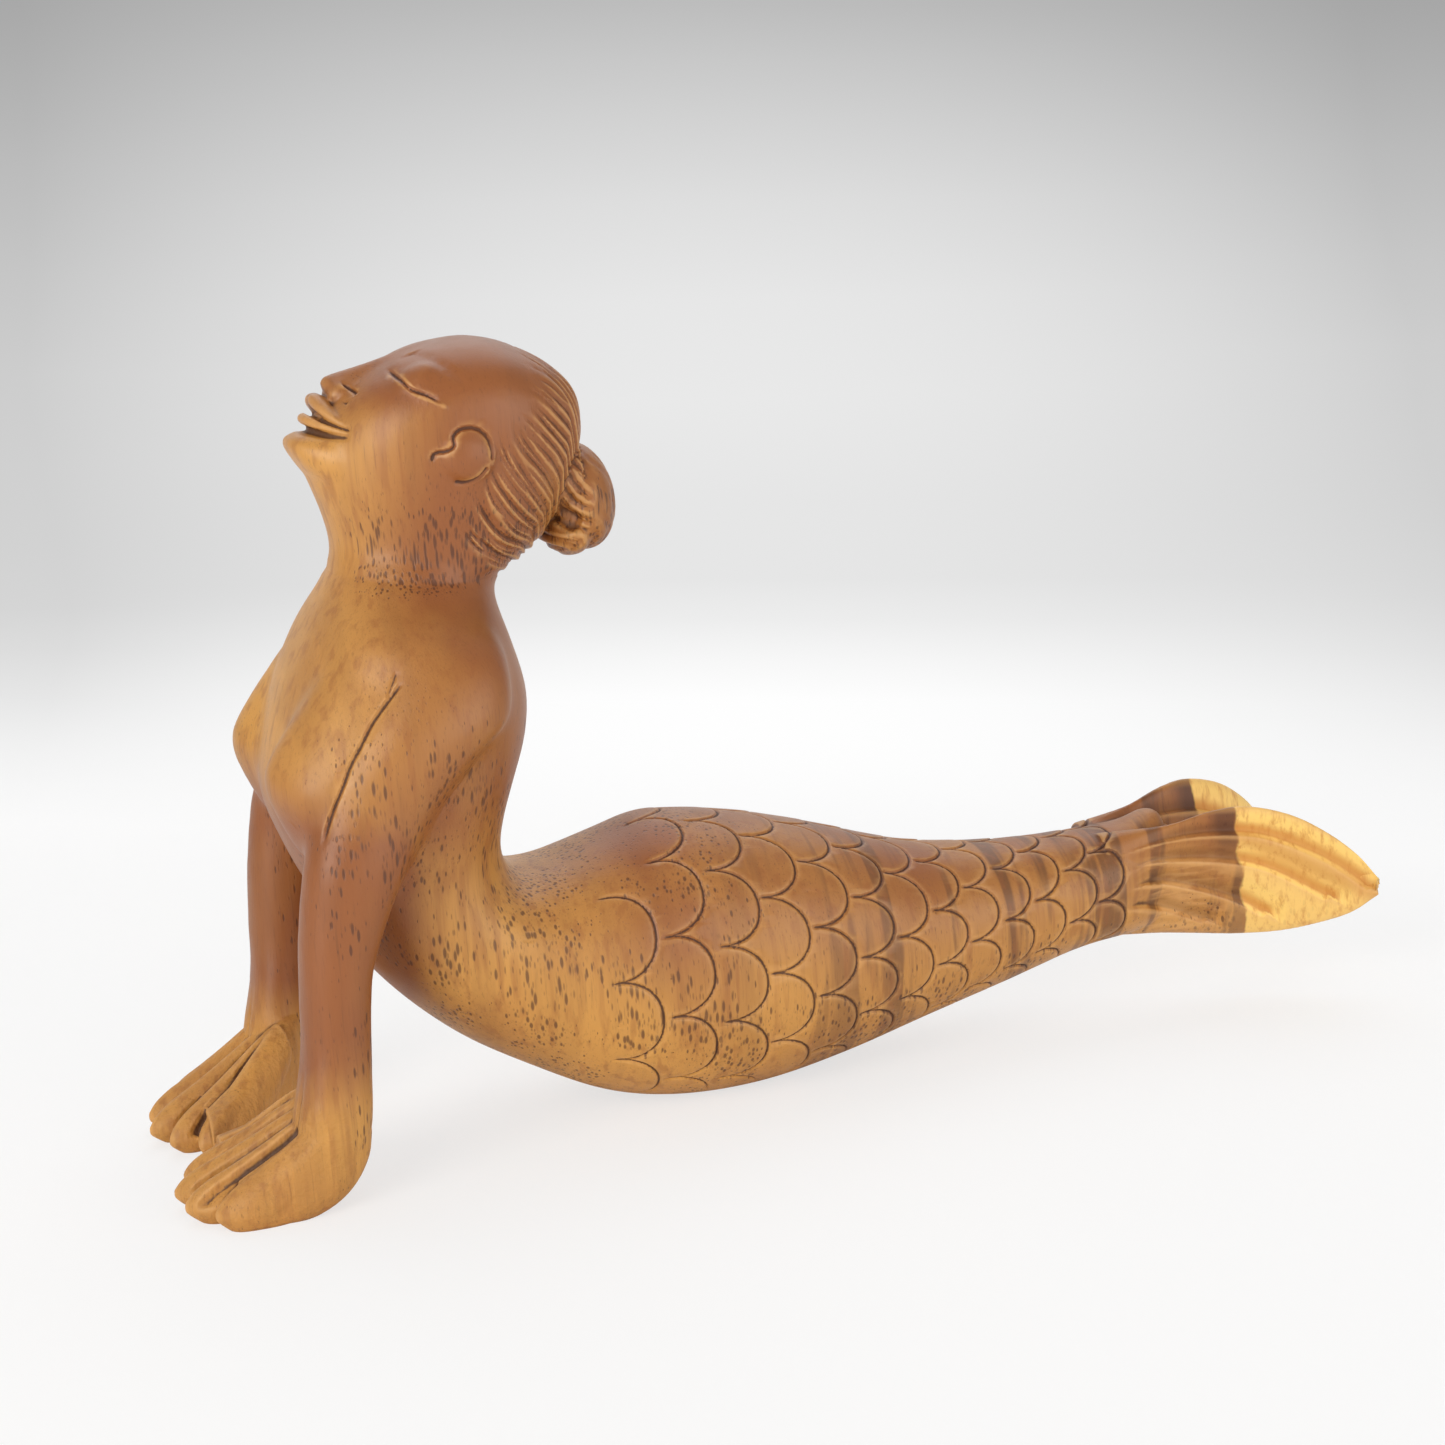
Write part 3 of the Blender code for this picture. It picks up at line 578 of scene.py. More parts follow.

# %% [markdown]
# ## Scales
#
# The scales go round the tail in columns, and each one is a single curved cut, open towards the
# hip. A column is given by the place of its cut on the tail, the angle of its first scale from
# the top of the tail, and the angle from one scale to the next. The columns were laid out one by
# one, so the rows wander a little. Each cut is a superellipse that reaches 10.6 mm at the hip and
# 8 mm at the fin. The cuts run out on the belly, which carries none.

# %% Scales
SCALE_COLUMNS = [(-24.5, 0.36, 0.56), (-11.8, -0.04, 0.54), (-0.3, 0.17, 0.545), (11.2, 0.41, 0.54),
                 (22.0, 0.20, 0.52), (32.0, 0.40, 0.64), (42.0, 0.20, 0.61), (51.2, 0.56, 0.67),
                 (60.8, 0.31, 0.73), (69.9, 0.0, 0.83), (79.3, 0.48, 0.86), (87.5, 0.26, 0.88)]
HIP_COLUMN = (-37.3, 1.15, 0.62)
SCALE_CUT, SCALE_DEEP, SCALE_RAISED = 1.1, 0.62, 0.10
HIP_REACH, FIN_REACH = 10.6, 8.0
ROUND = 2.2
on_tail = (x > -52) & (x < 93) & (z < 80)


def scale_cuts(x, y, z):
    rows = np.array(TAIL_ROWS)
    low, top, wide = (np.interp(x, rows[:, 0], rows[:, k]) for k in (1, 2, 3))
    high = (top - low) / 2
    turn = -np.arctan2(y / wide, (z - low - high) / high)
    radius = (wide + high) / 2
    cuts, raised = np.zeros(len(x)), np.zeros(len(x))
    for column, first, pitch in [HIP_COLUMN, *SCALE_COLUMNS]:
        here = np.abs(turn) if (column, first, pitch) == HIP_COLUMN else turn
        phase = (here - first) / pitch
        aside = phase - np.round(phase)
        reach = HIP_REACH + (FIN_REACH - HIP_REACH) * ramp(np.array(column), -10, 60)
        along = (x - (column - reach)) / reach
        size = (np.clip(along, 0, None) ** ROUND + np.abs(2 * aside) ** ROUND) ** (1 / ROUND)
        radial = np.hypot(along * reach, aside * pitch * radius)
        distance = np.abs(radial * (1 - 1 / np.maximum(size, 0.2)))
        drawn_here = (along > -0.16) & (size < 1.5)
        if (column, first, pitch) == HIP_COLUMN:
            drawn_here &= phase > -0.5
        runs_out = ramp(along, -0.16, 0.10)
        cuts = np.maximum(cuts, vee(distance, SCALE_CUT, SCALE_DEEP) * drawn_here * runs_out)
        inside = drawn_here & (size < 1)
        swell = inside * ramp(along, 0, 0.8) * ramp(1 - size, 0, 0.12)
        raised = np.maximum(raised, SCALE_RAISED * swell)
    return (cuts - raised) * ramp(-np.abs(turn), -2.72, -2.35)


depth[on_tail] += scale_cuts(x[on_tail], y[on_tail], z[on_tail])
print("scales: deepest cut", round(depth.max(), 2), "mm")

# %% [markdown]
# ## Flutes of the fin
#
# A gouge leaned to one side leaves a flute with a long slope above and a short steep wall below.
# Those walls catch the light as thin bright lines that fan out from the root of the fin.

# %% Flutes
FLUTES = [[(84, 41.5), (92, 43.6), (104, 45.2), (117.4, 44.6), (127, 42.0), (138.2, 35.9), (146.5, 29)],
          [(86, 37.6), (96, 39.4), (108, 38.6), (119.2, 36.4), (127, 33.2), (138, 26.2)],
          [(86, 34.2), (96.6, 34.0), (107.6, 30.8), (118, 26.4), (125, 21.8)],
          [(86, 29.4), (93, 28.4), (101.3, 25.4), (111, 20.8)]]
SLOPE, WALL, FLUTE_DEEP = 6.5, 1.5, 1.7
on_fin = (x > 82) & (z < 80)


def flute_cuts(flat):
    cuts = np.zeros(len(flat))
    for path in FLUTES:
        distance, side, along = follow(flat, path)
        run = np.where(side > 0, SLOPE, WALL)
        cuts = np.maximum(cuts, FLUTE_DEEP * ramp(1 - distance / run, 0, 1) * ramp(along, 0, 0.3))
    return cuts


fluted = np.zeros(COUNT)
fluted[on_fin] = flute_cuts(points[on_fin][:, [0, 2]])
depth += fluted
print("flutes:", len(FLUTES), "on each side of each lobe")

# %% [markdown]
# ## Hair
#
# Strands sweep back from the hairline to the bun and the nape. A few guide lines were drawn, and
# the strands between them are evenly spaced blends of two guides. On the back of the head the side
# view looks along the surface, so there the x of a point is stretched towards the middle line,
# which lets the same strands run on round the back.

# %% Hair
HAIR_GUIDES = np.array([
    [(-50.5, 181.0), (-45.5, 177.6), (-38.5, 172.0), (-33.0, 164.5), (-27, 156)],
    [(-53.7, 176.3), (-48.3, 173.5), (-43.1, 168.2), (-38.7, 160.9), (-31, 152)],
    [(-54.4, 171.5), (-49.9, 167.8), (-44.7, 162.1), (-40.0, 155.7), (-33, 149)],
    [(-57.8, 165.7), (-53.2, 159.9), (-47.6, 153.5), (-42.0, 143.6), (-36, 141)],
    [(-62.6, 164.0), (-59.9, 156.9), (-54.9, 149.1), (-47.9, 139.5), (-41, 136.5)],
    [(-66.1, 154.3), (-63.3, 147.5), (-58.3, 141.6), (-50.3, 137.1), (-43, 134)],
    [(-69.2, 148.5), (-66.9, 142.7), (-62.4, 137.3), (-53.8, 134.0), (-46, 131.5)],
    [(-70.1, 139.3), (-67.0, 135.9), (-62.7, 133.1), (-56.7, 130.9), (-50, 129)]])
HAIR_PITCH, HAIR_DEEP, HAIR_RAISED, SHORT_CUTS = 2.3, 0.9, 0.35, 3
on_head = (z > 126) & (x > -112) & (x < -26)
rng = np.random.default_rng(7)


def hair_strands():
    strands = [HAIR_GUIDES[0]]
    for guide, following in zip(HAIR_GUIDES, HAIR_GUIDES[1:]):
        gap = np.linalg.norm(following - guide, axis=1)[:4].mean()
        count = max(1, round(gap / HAIR_PITCH))
        strands += [guide + (following - guide) * k / count for k in range(1, count + 1)]
    return strands


def hair_cuts(points, normals):
    """Two passes of cuts: one wavy cut down each strand, then short fine ones beside it."""
    x, y, z = points.T
    stretch = np.clip(14 - np.abs(y), 0, 14) * ramp(normals[:, 0], 0.2, 0.8)
    flat = np.stack([x + stretch, z], axis=1)
    cuts = np.zeros(len(x))
    for strand in hair_strands():
        near = np.abs(flat[:, 1] - strand[:, 1].mean()) < 30
        wave = np.cumsum(rng.normal(0, 0.42, strand.shape), axis=0)
        first = rng.uniform(0.0, 0.30)
        deep = HAIR_DEEP * rng.uniform(0.45, 1.25)
        cut = stroke(flat[near], strand + wave, HAIR_PITCH * 1.1, deep, 1.2, fade=(0.15 + first, 0))
        for _ in range(SHORT_CUTS):
            beside = strand + rng.normal(0, 0.8, 2) + rng.normal(0, 0.35, strand.shape)
            begin = rng.integers(0, 3)
            path, deep = beside[begin:begin + 3], rng.uniform(0.3, 0.6)
            cut = np.maximum(cut, stroke(flat[near], path, 1.2, deep, fade=(0.4, 0.3)))
        cuts[near] = np.maximum(cuts[near], cut)
    hairline = np.interp(z, [128, 133, 140, 150, 161, 169, 176, 182],
                         [-66, -70, -71.5, -70, -65, -59, -55, -53])
    raised = HAIR_RAISED * ramp(x - hairline, 0, 9) * ramp(z, 127, 131)
    return (cuts - raised) * ramp(-x, 38.5, 42)


def bun_cuts(points):
    """Shallow grooves that wind down the roll of the bun, and a hollow in front of its foot."""
    x, y, z = points.T
    round_bun = np.arctan2(y, x + 43) + 0.03 * (z - 142) + 0.12 * np.sin(z * 0.5)
    aside = np.abs((round_bun / 0.42) % 1 - 0.5) * 2
    grooves = 0.28 * np.clip(1 - aside / 0.6, 0, 1) * ramp(x, -42, -39) * ramp(-z, -156, -152)
    hollow = ball_hollow(points, (-45.5, 139.6), (3.6, 3.0), 1.6)
    return grooves + hollow * ramp(np.abs(y), 6, 10)


def ball_hollow(points, centre, size, deep):
    """A round hollow in the side view, deepest in its middle."""
    across = (points[:, [0, 2]] - centre) / size
    return deep * np.clip(1 - (across ** 2).sum(axis=1), 0, 1)


depth[on_head] += hair_cuts(points[on_head], normals[on_head])
on_bun = (x > -50) & (z > 126) & (z < 158)
depth[on_bun] += bun_cuts(points[on_bun])
print("hair:", len(hair_strands()), "strands on each side")

# %% [markdown]
# ## Lines of the face, folds and fingers
#
# The last cuts are the smallest: closed lids, brow, nostrils, the slit of the mouth and the rim
# of the ear, then the folds where the arms meet the body and the grooves between the fingers.

# %% Face lines and folds
LID = [(-82.5, 177.2), (-81.4, 175.1), (-79.6, 173.0), (-77.1, 171.9), (-74.7, 170.2), (-74.0, 169.2)]
BROW = [(-84.0, 180.6), (-76.4, 179.8), (-71.5, 177.1), (-68.7, 173.7), (-68.9, 170.6)]
WING = [(-92.2, 175.1), (-90.1, 173.0), (-89.8, 171.6), (-91.0, 170.6), (-93.4, 170.8)]
MOUTH = [(-100.8, 169.5), (-99.2, 168.6), (-97.6, 167.3), (-95.4, 166.1), (-92.4, 164.9)]
UNDER_LIP = [(-101.4, 165.2), (-99.2, 164.7), (-96.4, 164.0), (-92.4, 163.6)]
EAR_TOP = [(-77.6, 157.4), (-76.9, 159.3), (-74.6, 159.8), (-72.8, 160.8), (-72.6, 162.8),
           (-70.6, 164.2), (-67.4, 164.0), (-65.0, 161.8), (-64.2, 158.6), (-64.6, 156.6)]
EAR_FOOT = [(-65.6, 155.4), (-67.6, 153.3), (-70.4, 152.4), (-73.2, 152.9)]
ARMPIT = [(-90.4, 113.8), (-93.3, 111.0), (-98.1, 106.0), (-101.3, 101.6), (-104.0, 97.7),
          (-105.8, 94.1), (-108.1, 89.7), (-110.5, 84.7), (-112.3, 80.0)]
FORK = [(-91.4, 115.8), (-92.6, 113.6), (-94.6, 110.2)]
ARM_BACK = [(-72.4, 97), (-78.9, 90.6), (-82.6, 87.3), (-85.9, 82.5), (-88, 79)]
NECK_RING = [(-104, 134), (-92.5, 132.8), (-82, 131.2), (-72, 130.4), (-62, 130), (-52, 130)]


def face_cuts(points, sideways):
    x, y, z = points.T
    flat, aside = points[:, [0, 2]], np.abs(y)
    off_nose, on_mouth = aside > 6.5, ramp(-aside, -14.5, -12.5)
    cuts = stroke(flat, LID, 1.3, 0.8, fade=(0.1, 0.25)) * off_nose
    cuts -= stroke(flat + (-0.9, 1.0), LID, 2.0, 0.35, fade=(0.2, 0.1)) * off_nose
    cuts += stroke(flat, BROW, 3.0, 0.35, fade=(0.2, 0.3)) * off_nose
    cuts += stroke(flat, WING, 1.2, 0.8, fade=(0.2, 0.2)) * (aside > 2.6) * (aside < 9)
    cuts += stroke(flat, MOUTH, 1.1, 0.8, fade=(0, 0.1)) * on_mouth
    cuts += stroke(flat, UNDER_LIP, 2.2, 0.7, fade=(0, 0.15)) * on_mouth
    ear_side = ramp(sideways, 0.3, 0.6)
    cuts += stroke(flat, EAR_TOP, 1.2, 0.8, fade=(0.04, 0.04)) * ear_side
    cuts += stroke(flat, EAR_FOOT, 1.2, 0.7, fade=(0.04, 0.1)) * ear_side
    return cuts


def fold_cuts(points, sideways):
    flat, aside = points[:, [0, 2]], np.abs(points[:, 1])
    outer = ramp(aside, 14, 20)
    cuts = stroke(flat, ARMPIT, 1.1, 0.75, fade=(0.08, 0.15)) * outer * ramp(sideways, 0.1, 0.5)
    cuts += stroke(flat, FORK, 0.9, 0.45, fade=(0.2, 0.2)) * outer * ramp(sideways, 0.1, 0.5)
    cuts += stroke(flat, ARM_BACK, 1.6, 0.22, fade=(0.3, 0.3)) * outer
    return cuts + stroke(flat, NECK_RING, 3.6, 0.32)


def finger_cuts(points, upward, width=2.6, deep=1.3):
    """Grooves on the back of the hand, seen from above, halfway between neighbouring fingers."""
    flat = np.stack([points[:, 0], np.abs(points[:, 1])], axis=1)
    cuts = np.zeros(len(flat))
    fingers = list(zip(FINGER_ROOTS, FINGER_TIPS))
    for (root_a, tip_a), (root_b, tip_b) in zip(fingers, fingers[1:]):
        start = np.array([(root_a[0] + root_b[0]) / 2, HAND * (root_a[1] + root_b[1]) / 2])
        end = np.array([(tip_a[0] + tip_b[0]) / 2, HAND * (tip_a[1] + tip_b[1]) / 2])
        path = [start + (end - start) * share for share in (0.12, 0.5, 1.0)]
        cuts = np.maximum(cuts, stroke(flat, path, width, deep, fade=(0.3, 0)))
    return cuts * ramp(upward, 0.0, 0.4)


on_face = (z > 148) & (x < -60)
depth[on_face] += face_cuts(points[on_face], sideways[on_face])
on_torso = (z > 60) & (z < 136) & (x < -46)
depth[on_torso] += fold_cuts(points[on_torso], sideways[on_torso])
on_hand = (z < 32) & (x < -108)
depth[on_hand] += finger_cuts(points[on_hand], normals[on_hand][:, 2])
print("cuts reach", round(depth.max(), 2), "mm into the wood")

# %% [markdown]
# ## Hollows and edges
#
# The grooves are painted darker later, partly a dark stain and partly painted shade, and the edges
# paler, as a painted highlight. To paint that, each point stores how far it lies under a smoothed
# copy of the skin, in millimetres: more than zero in a groove, less than zero on an edge. The flutes
# are too wide to show up in that way, so on the lobes the value follows their depth instead, which
# paints shade into their valleys and a highlight onto their crests.

# %% Push in the cuts and measure the hollows
SPREAD = 9
FLUTE_SHADE_PAINT, RIDGE_SHARE = 0.33, 0.35
mesh.vertices.foreach_set("co", ((points - normals * depth[:, None]) * MM).ravel())
mesh.update()
points, normals = read_points(mesh)
softened = points.copy()
for _ in range(SPREAD):
    softened = neighbour_mean(softened, edges, COUNT)
hollow = ((softened - points) * normals).sum(axis=1)
on_lobes = ramp(x, 93, 100)
# On the lobes the flute depth paints shade into the valleys and a highlight onto the crests.
hollow += on_lobes * (FLUTE_SHADE_PAINT * (fluted / FLUTE_DEEP - RIDGE_SHARE) - 0.7 * hollow)
mesh.attributes.new("hollow", "FLOAT", "POINT").data.foreach_set("value", hollow)
print("hollow from", round(float(hollow.min()), 2), "to", round(float(hollow.max()), 2), "mm")

# %% [markdown]
# ## Thinning and the flat base
#
# Decimate drops points where the skin is smooth and keeps them in the carving. Then a cut at
# z = 0 gives both palms and the belly the flat faces that the figure rests on.

# %% Thin and level
TRIANGLES = 190000
thin = figure.modifiers.new("Thin", "DECIMATE")
thin.ratio = min(1.0, TRIANGLES / (2 * len(mesh.polygons)))
keep_evaluated(figure)
bm = bmesh.new()
bm.from_mesh(figure.data)
everything = bm.verts[:] + bm.edges[:] + bm.faces[:]
down = (0, 0, -1)
bmesh.ops.bisect_plane(bm, geom=everything, plane_co=(0, 0, 0), plane_no=down, clear_outer=True)
rim = [edge for edge in bm.edges if edge.is_boundary]
bmesh.ops.triangle_fill(bm, edges=rim, use_beauty=True, normal=down)
bmesh.ops.triangulate(bm, faces=bm.faces)
bmesh.ops.recalc_face_normals(bm, faces=bm.faces)
bm.to_mesh(figure.data)
bm.free()
figure.data.shade_smooth()
print("figure:", len(figure.data.polygons), "triangles")
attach(figure, "root")
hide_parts("mermaid_carving")

# %% [markdown]
# ## Waxed suar wood
#
# Suar, also sold as rain tree, is a golden to chocolate brown hardwood with straight open pores,
# dark growth bands and pale sapwood. The grain runs up the block, so the pores show as short dark
# dashes on upright faces and as dots underneath. The growth bands cross the tail as upright
# stripes, and the tip of the fin reaches into the sapwood.
#
# Every pattern reads Object coordinates in millimetres, because the piece sits at the origin.
# Colours are written as they look on a screen, and one function turns them to linear light.

# %% A helper for nodes and the colours


def linear(code):
    """A hex colour as it is seen on a screen, turned to the linear values that Cycles uses."""
    parts = [int(code[k:k + 2], 16) / 255 for k in (1, 3, 5)]
    return (*[c / 12.92 if c <= 0.04045 else ((c + 0.055) / 1.055) ** 2.4 for c in parts], 1.0)


def wire(tree, kind, inputs=(), stops=(), **settings):
    """Adds a node with its settings, links or values for its inputs, and the stops of a ramp."""
    node = tree.nodes.new("ShaderNode" + kind)
    for name, value in settings.items():
        setattr(node, name, value)
    for socket, value in dict(inputs).items():
        if isinstance(value, bpy.types.NodeSocket):
            tree.links.new(value, node.inputs[socket])
        else:
            node.inputs[socket].default_value = value
    for k, (place, colour) in enumerate(stops):
        if k > 1:
            node.color_ramp.elements.new(place)
        node.color_ramp.elements[k].position = place
        node.color_ramp.elements[k].color = colour
    return node


GOLD, RED_BROWN, DARK_BAND = linear("#CE9548"), linear("#935526"), linear("#5E361C")
SAPWOOD, SAPWOOD_DEEP_AND_SHADE = linear("#FBD175"), linear("#C98436")
# The groove colour is partly a dark stain and partly painted shade, and the edge colour is a painted
# highlight. The deep sapwood colour is real, and also stands in for painted shade in the grooves on the
# sapwood.
PORE, GROOVE_STAIN_AND_SHADE, EDGE_HIGHLIGHT = linear("#4A2410"), linear("#42200F"), linear("#DDA765")
print("gold in linear light:", [round(c, 3) for c in GOLD[:3]])

# %% [markdown]
# ## Coordinates and small helpers
#
# A node graph is a formula that is worked out at each point. These helpers write the steps that
# come back often: a noise of a given size in millimetres, a soft step, a product, a mix of colours.

# %% Nodes as a formula
wood = bpy.data.materials.new("suar_wood_waxed")
wood.use_nodes = True
tree = wood.node_tree
shader = tree.nodes["Principled BSDF"]
place = wire(tree, "TexCoord").outputs["Object"]
mm = wire(tree, "VectorMath", {0: place, 1: (1000, 1000, 1000)},
          operation="MULTIPLY").outputs[0]
axes = wire(tree, "SeparateXYZ", {0: mm}).outputs
X, Y, Z = axes["X"], axes["Y"], axes["Z"]


def scaled(size):
    """The coordinates divided by the size of a pattern in millimetres, along each axis."""
    return wire(tree, "VectorMath", {0: mm, 1: size}, operation="DIVIDE").outputs[0]


def noise(size, detail=2.0, roughness=0.5):
    grain = wire(tree, "TexNoise",
                 {"Vector": scaled(size), "Scale": 1.0, "Detail": detail, "Roughness": roughness})
    return grain.outputs["Fac"]


def math_node(operation, a, b=0.0, c=0.0):
    return wire(tree, "Math", {0: a, 1: b, 2: c}, operation=operation).outputs[0]


def both(a, b):
    return math_node("MULTIPLY", a, b)


def either(*values):
    """The largest of the values."""
    most = values[0]
    for value in values[1:]:
        most = math_node("MAXIMUM", most, value)
    return most


def add_times(a, factor, b):
    return math_node("MULTIPLY_ADD", a, factor, b)


def no(value):
    return math_node("SUBTRACT", 1.0, value)


def fade_in(value, start, end):
    """0 before start and 1 after end, as a node."""
    return wire(tree, "MapRange", {"Value": value, "From Min": start, "From Max": end},
                interpolation_type="SMOOTHSTEP").outputs["Result"]


def between(value, start, full, last, end):
    """Rises from start to full, and falls again from last to end."""
    return both(fade_in(value, start, full), no(fade_in(value, last, end)))


def layer(fac, below, above):
    """The colour below, covered by the one above where fac is 1."""
    return wire(tree, "Mix", {"Factor": fac, 6: below, 7: above},
                data_type="RGBA").outputs[2]


print("nodes for the coordinates:", len(tree.nodes))

# %% [markdown]
# ## Darker parts
#
# The wood turns from gold to a dark red-brown on the back, the arms, the crown and the top of the
# tail, each through a mask here. Over them go the growth bands, which are strong on the tail only,
# and two sizes of fibres.

# %% Darker parts
DARKER_SHARE, PATCH_SHARE, DARKER_BOOST = 0.68, 0.32, 1.35
patches = fade_in(noise((38, 38, 60), 3.0), 0.38, 0.62)
leaning = math_node("SUBTRACT", X, add_times(Z, 0.3, -33.0))
back = both(fade_in(leaning, -110, -86), fade_in(Z, 62, 84))
arms = both(both(between(Z, 18, 36, 76, 100), no(fade_in(X, -96, -84))), DARKER_BOOST)
crown = both(fade_in(Z, 158, 178), DARKER_BOOST)
tail_top = both(fade_in(X, -62, -36), fade_in(Z, 22, 52))
# Darker red-brown, through masks, on the back, the arms, the crown and the top of the tail.
darker_parts = either(back, arms, crown, tail_top)
bands = noise((6.5, 90, 70), 3.0, 0.6)
band_strength = add_times(fade_in(X, -30, 40), 0.62, 0.10)
fibres = noise((0.45, 0.45, 14), 3.0, 0.65)
broad_grain = noise((2.2, 2.2, 40), 2.0)
base = layer(add_times(darker_parts, DARKER_SHARE, both(patches, PATCH_SHARE)), GOLD, RED_BROWN)
base = layer(both(fade_in(bands, 0.50, 0.60), band_strength), base, DARK_BAND)
base = layer(both(fade_in(broad_grain, 0.48, 0.70), 0.42), base, RED_BROWN)
base = layer(both(fade_in(fibres, 0.52, 0.75), 0.32), base, DARK_BAND)
print("heartwood: colour from 4 layers")

# %% [markdown]
# ## Sapwood
#
# The outermost wood of a tree is pale, and it starts at a sharp line that is a little wavy. Here
# that line crosses the fin near x = 127 mm, at a slant. The wood just before it is darkest, and
# the root of the fin gets pale streaks of painted sheen.

# %% Sapwood
SAP_AT, SAP_EDGE, SLANT = 126.6, 0.9, 0.14
sap_line = add_times(noise((5, 5, 8), 3.0), 3.0, X)
sap_line = add_times(Y, -SLANT, add_times(Z, SLANT, sap_line))
in_sapwood = fade_in(sap_line, SAP_AT, SAP_AT + SAP_EDGE)
before_sap = both(between(sap_line, 119, 124, 126.2, 127.4), fade_in(Z, 33, 46))
base = layer(both(before_sap, 0.8), base, DARK_BAND)
# Painted sheen: pale streaks across the root of the fin.
root_sheen = both(between(X, 88, 98, 104, 124), no(fade_in(Z, 34, 44)))
root_sheen = both(root_sheen, fade_in(noise((9, 9, 2.2), 2.0), 0.40, 0.62))
base = layer(both(root_sheen, 0.55), base, EDGE_HIGHLIGHT)
flecks = fade_in(noise((1.6, 1.6, 8), 3.0, 0.65), 0.46, 0.74)
sapwood = layer(both(flecks, 0.75), SAPWOOD, SAPWOOD_DEEP_AND_SHADE)
rim_band = between(add_times(X, 0.55, Z), 104, 108, 109, 113)
sapwood = layer(both(rim_band, 0.6), sapwood, SAPWOOD_DEEP_AND_SHADE)
base = layer(in_sapwood, base, sapwood)
print("sapwood from x =", SAP_AT, "mm")

# %% [markdown]
# ## Pores
#
# Cutting along the grain opens the vessels of the wood as dark dashes. A Voronoi pattern that is
# drawn out along z has one such dash in the middle of each cell, and its limit is raised where the
# pores are dense: on the neck, on the flank and near the belly. On the neck longer streaks are
# added.

# %% Pores


def pores(size, reach, dense):
    """Cells drawn out along the grain. The middle of each is a pore, if dense is over 0 there."""
    cells = wire(tree, "TexVoronoi",
                 {"Vector": scaled(size), "Scale": 1.0, "Randomness": 1.0}, feature="F1")
    limit = add_times(dense, reach, 0.02)
    return no(fade_in(math_node("DIVIDE", cells.outputs["Distance"], limit), 0.55, 1.15))


neck = both(between(Z, 127, 131, 143, 153), fade_in(X, -98, -90))
flank = both(no(fade_in(Z, 92, 112)), fade_in(X, -122, -104))
near_belly = no(both(fade_in(X, -30, 10), fade_in(Z, 20, 34)))
coarse = either(neck, both(flank, near_belly))
coarse = both(coarse, add_times(fade_in(noise((14, 14, 18), 2.0), 0.36, 0.56), 0.75, 0.25))
everywhere = fade_in(noise((18, 18, 24), 2.0), 0.44, 0.66)
long_pores = pores((1.25, 1.25, 5.6), 0.34, coarse)
fine_pores = pores((0.8, 0.8, 3.4), 0.30, either(both(coarse, 0.9), both(everywhere, 0.7)))
streaks = pores((0.85, 0.85, 8.5), 0.38, neck)
pore = either(long_pores, streaks, both(fine_pores, 0.55))
pore = both(pore, no(both(in_sapwood, 0.85)))
base = layer(both(pore, 0.72), base, PORE)
print("pores: 3 sizes")

# %% [markdown]
# ## Grooves, edges and wax
#
# The "hollow" values of the points paint the grooves darker, partly a dark stain and partly painted
# shade, and paint a highlight onto the edges, less so in the hair and on the fin. Wax gives a satin
# gloss, which varies a little and is lost in the grooves and on the rough tops of the hands. Pores and
# fibres drive the bump.

# %% Grooves, edges and wax
hollow_at = wire(tree, "Attribute", attribute_name="hollow",
                 attribute_type="GEOMETRY").outputs["Fac"]
in_hair = both(fade_in(Z, 128, 133), fade_in(X, -74, -62))
in_groove = fade_in(hollow_at, 0.05, 0.24)
on_edge = fade_in(both(hollow_at, -1.0), 0.04, 0.20)
darkest = add_times(in_hair, -0.25, 0.88)
darkest = add_times(fade_in(X, 92, 99), -0.55, darkest)
darkest = add_times(in_sapwood, 0.45, darkest)
# Painted shade in the grooves, partly a dark stain there, with the deep sapwood colour on the sapwood.
base = layer(both(in_groove, darkest), base, layer(in_sapwood, GROOVE_STAIN_AND_SHADE, SAPWOOD_DEEP_AND_SHADE))
# Painted highlight on the edges and ridges.
base = layer(both(on_edge, 0.50), base, EDGE_HIGHLIGHT)

tooled = both(between(X, -160, -150, -116, -108), between(Z, -5, 0, 22, 27))
gloss = add_times(noise((8, 8, 14), 3.0), 0.16, 0.36)
gloss = add_times(either(in_groove, tooled), 0.22, gloss)
relief = add_times(pore, -0.9, both(fibres, 0.55))
relief = add_times(noise((3.5, 3.5, 7), 3.0), 0.6, relief)
relief = add_times(both(tooled, noise((1.8, 1.0, 1.4), 2.0)), 4.0, relief)
bump = wire(tree, "Bump", {"Height": relief, "Strength": 0.40, "Distance": 0.0003})
ends = {"Base Color": base, "Roughness": gloss, "Normal": bump.outputs["Normal"]}
for socket, value in ends.items():
    tree.links.new(value, shader.inputs[socket])
constants = {"Metallic": 0.0, "IOR": 1.5, "Coat Weight": 0.15, "Coat Roughness": 0.35}
for socket, value in constants.items():
    shader.inputs[socket].default_value = value
figure.data.materials.append(wood)
print("material", wood.name, "with", len(tree.nodes), "nodes")

# %% [markdown]
# ## Floor and backdrop
#
# The figure stands on a pale floor, in front of a card that curves up. The card is an edge, spun
# through a quarter turn and then pulled up.

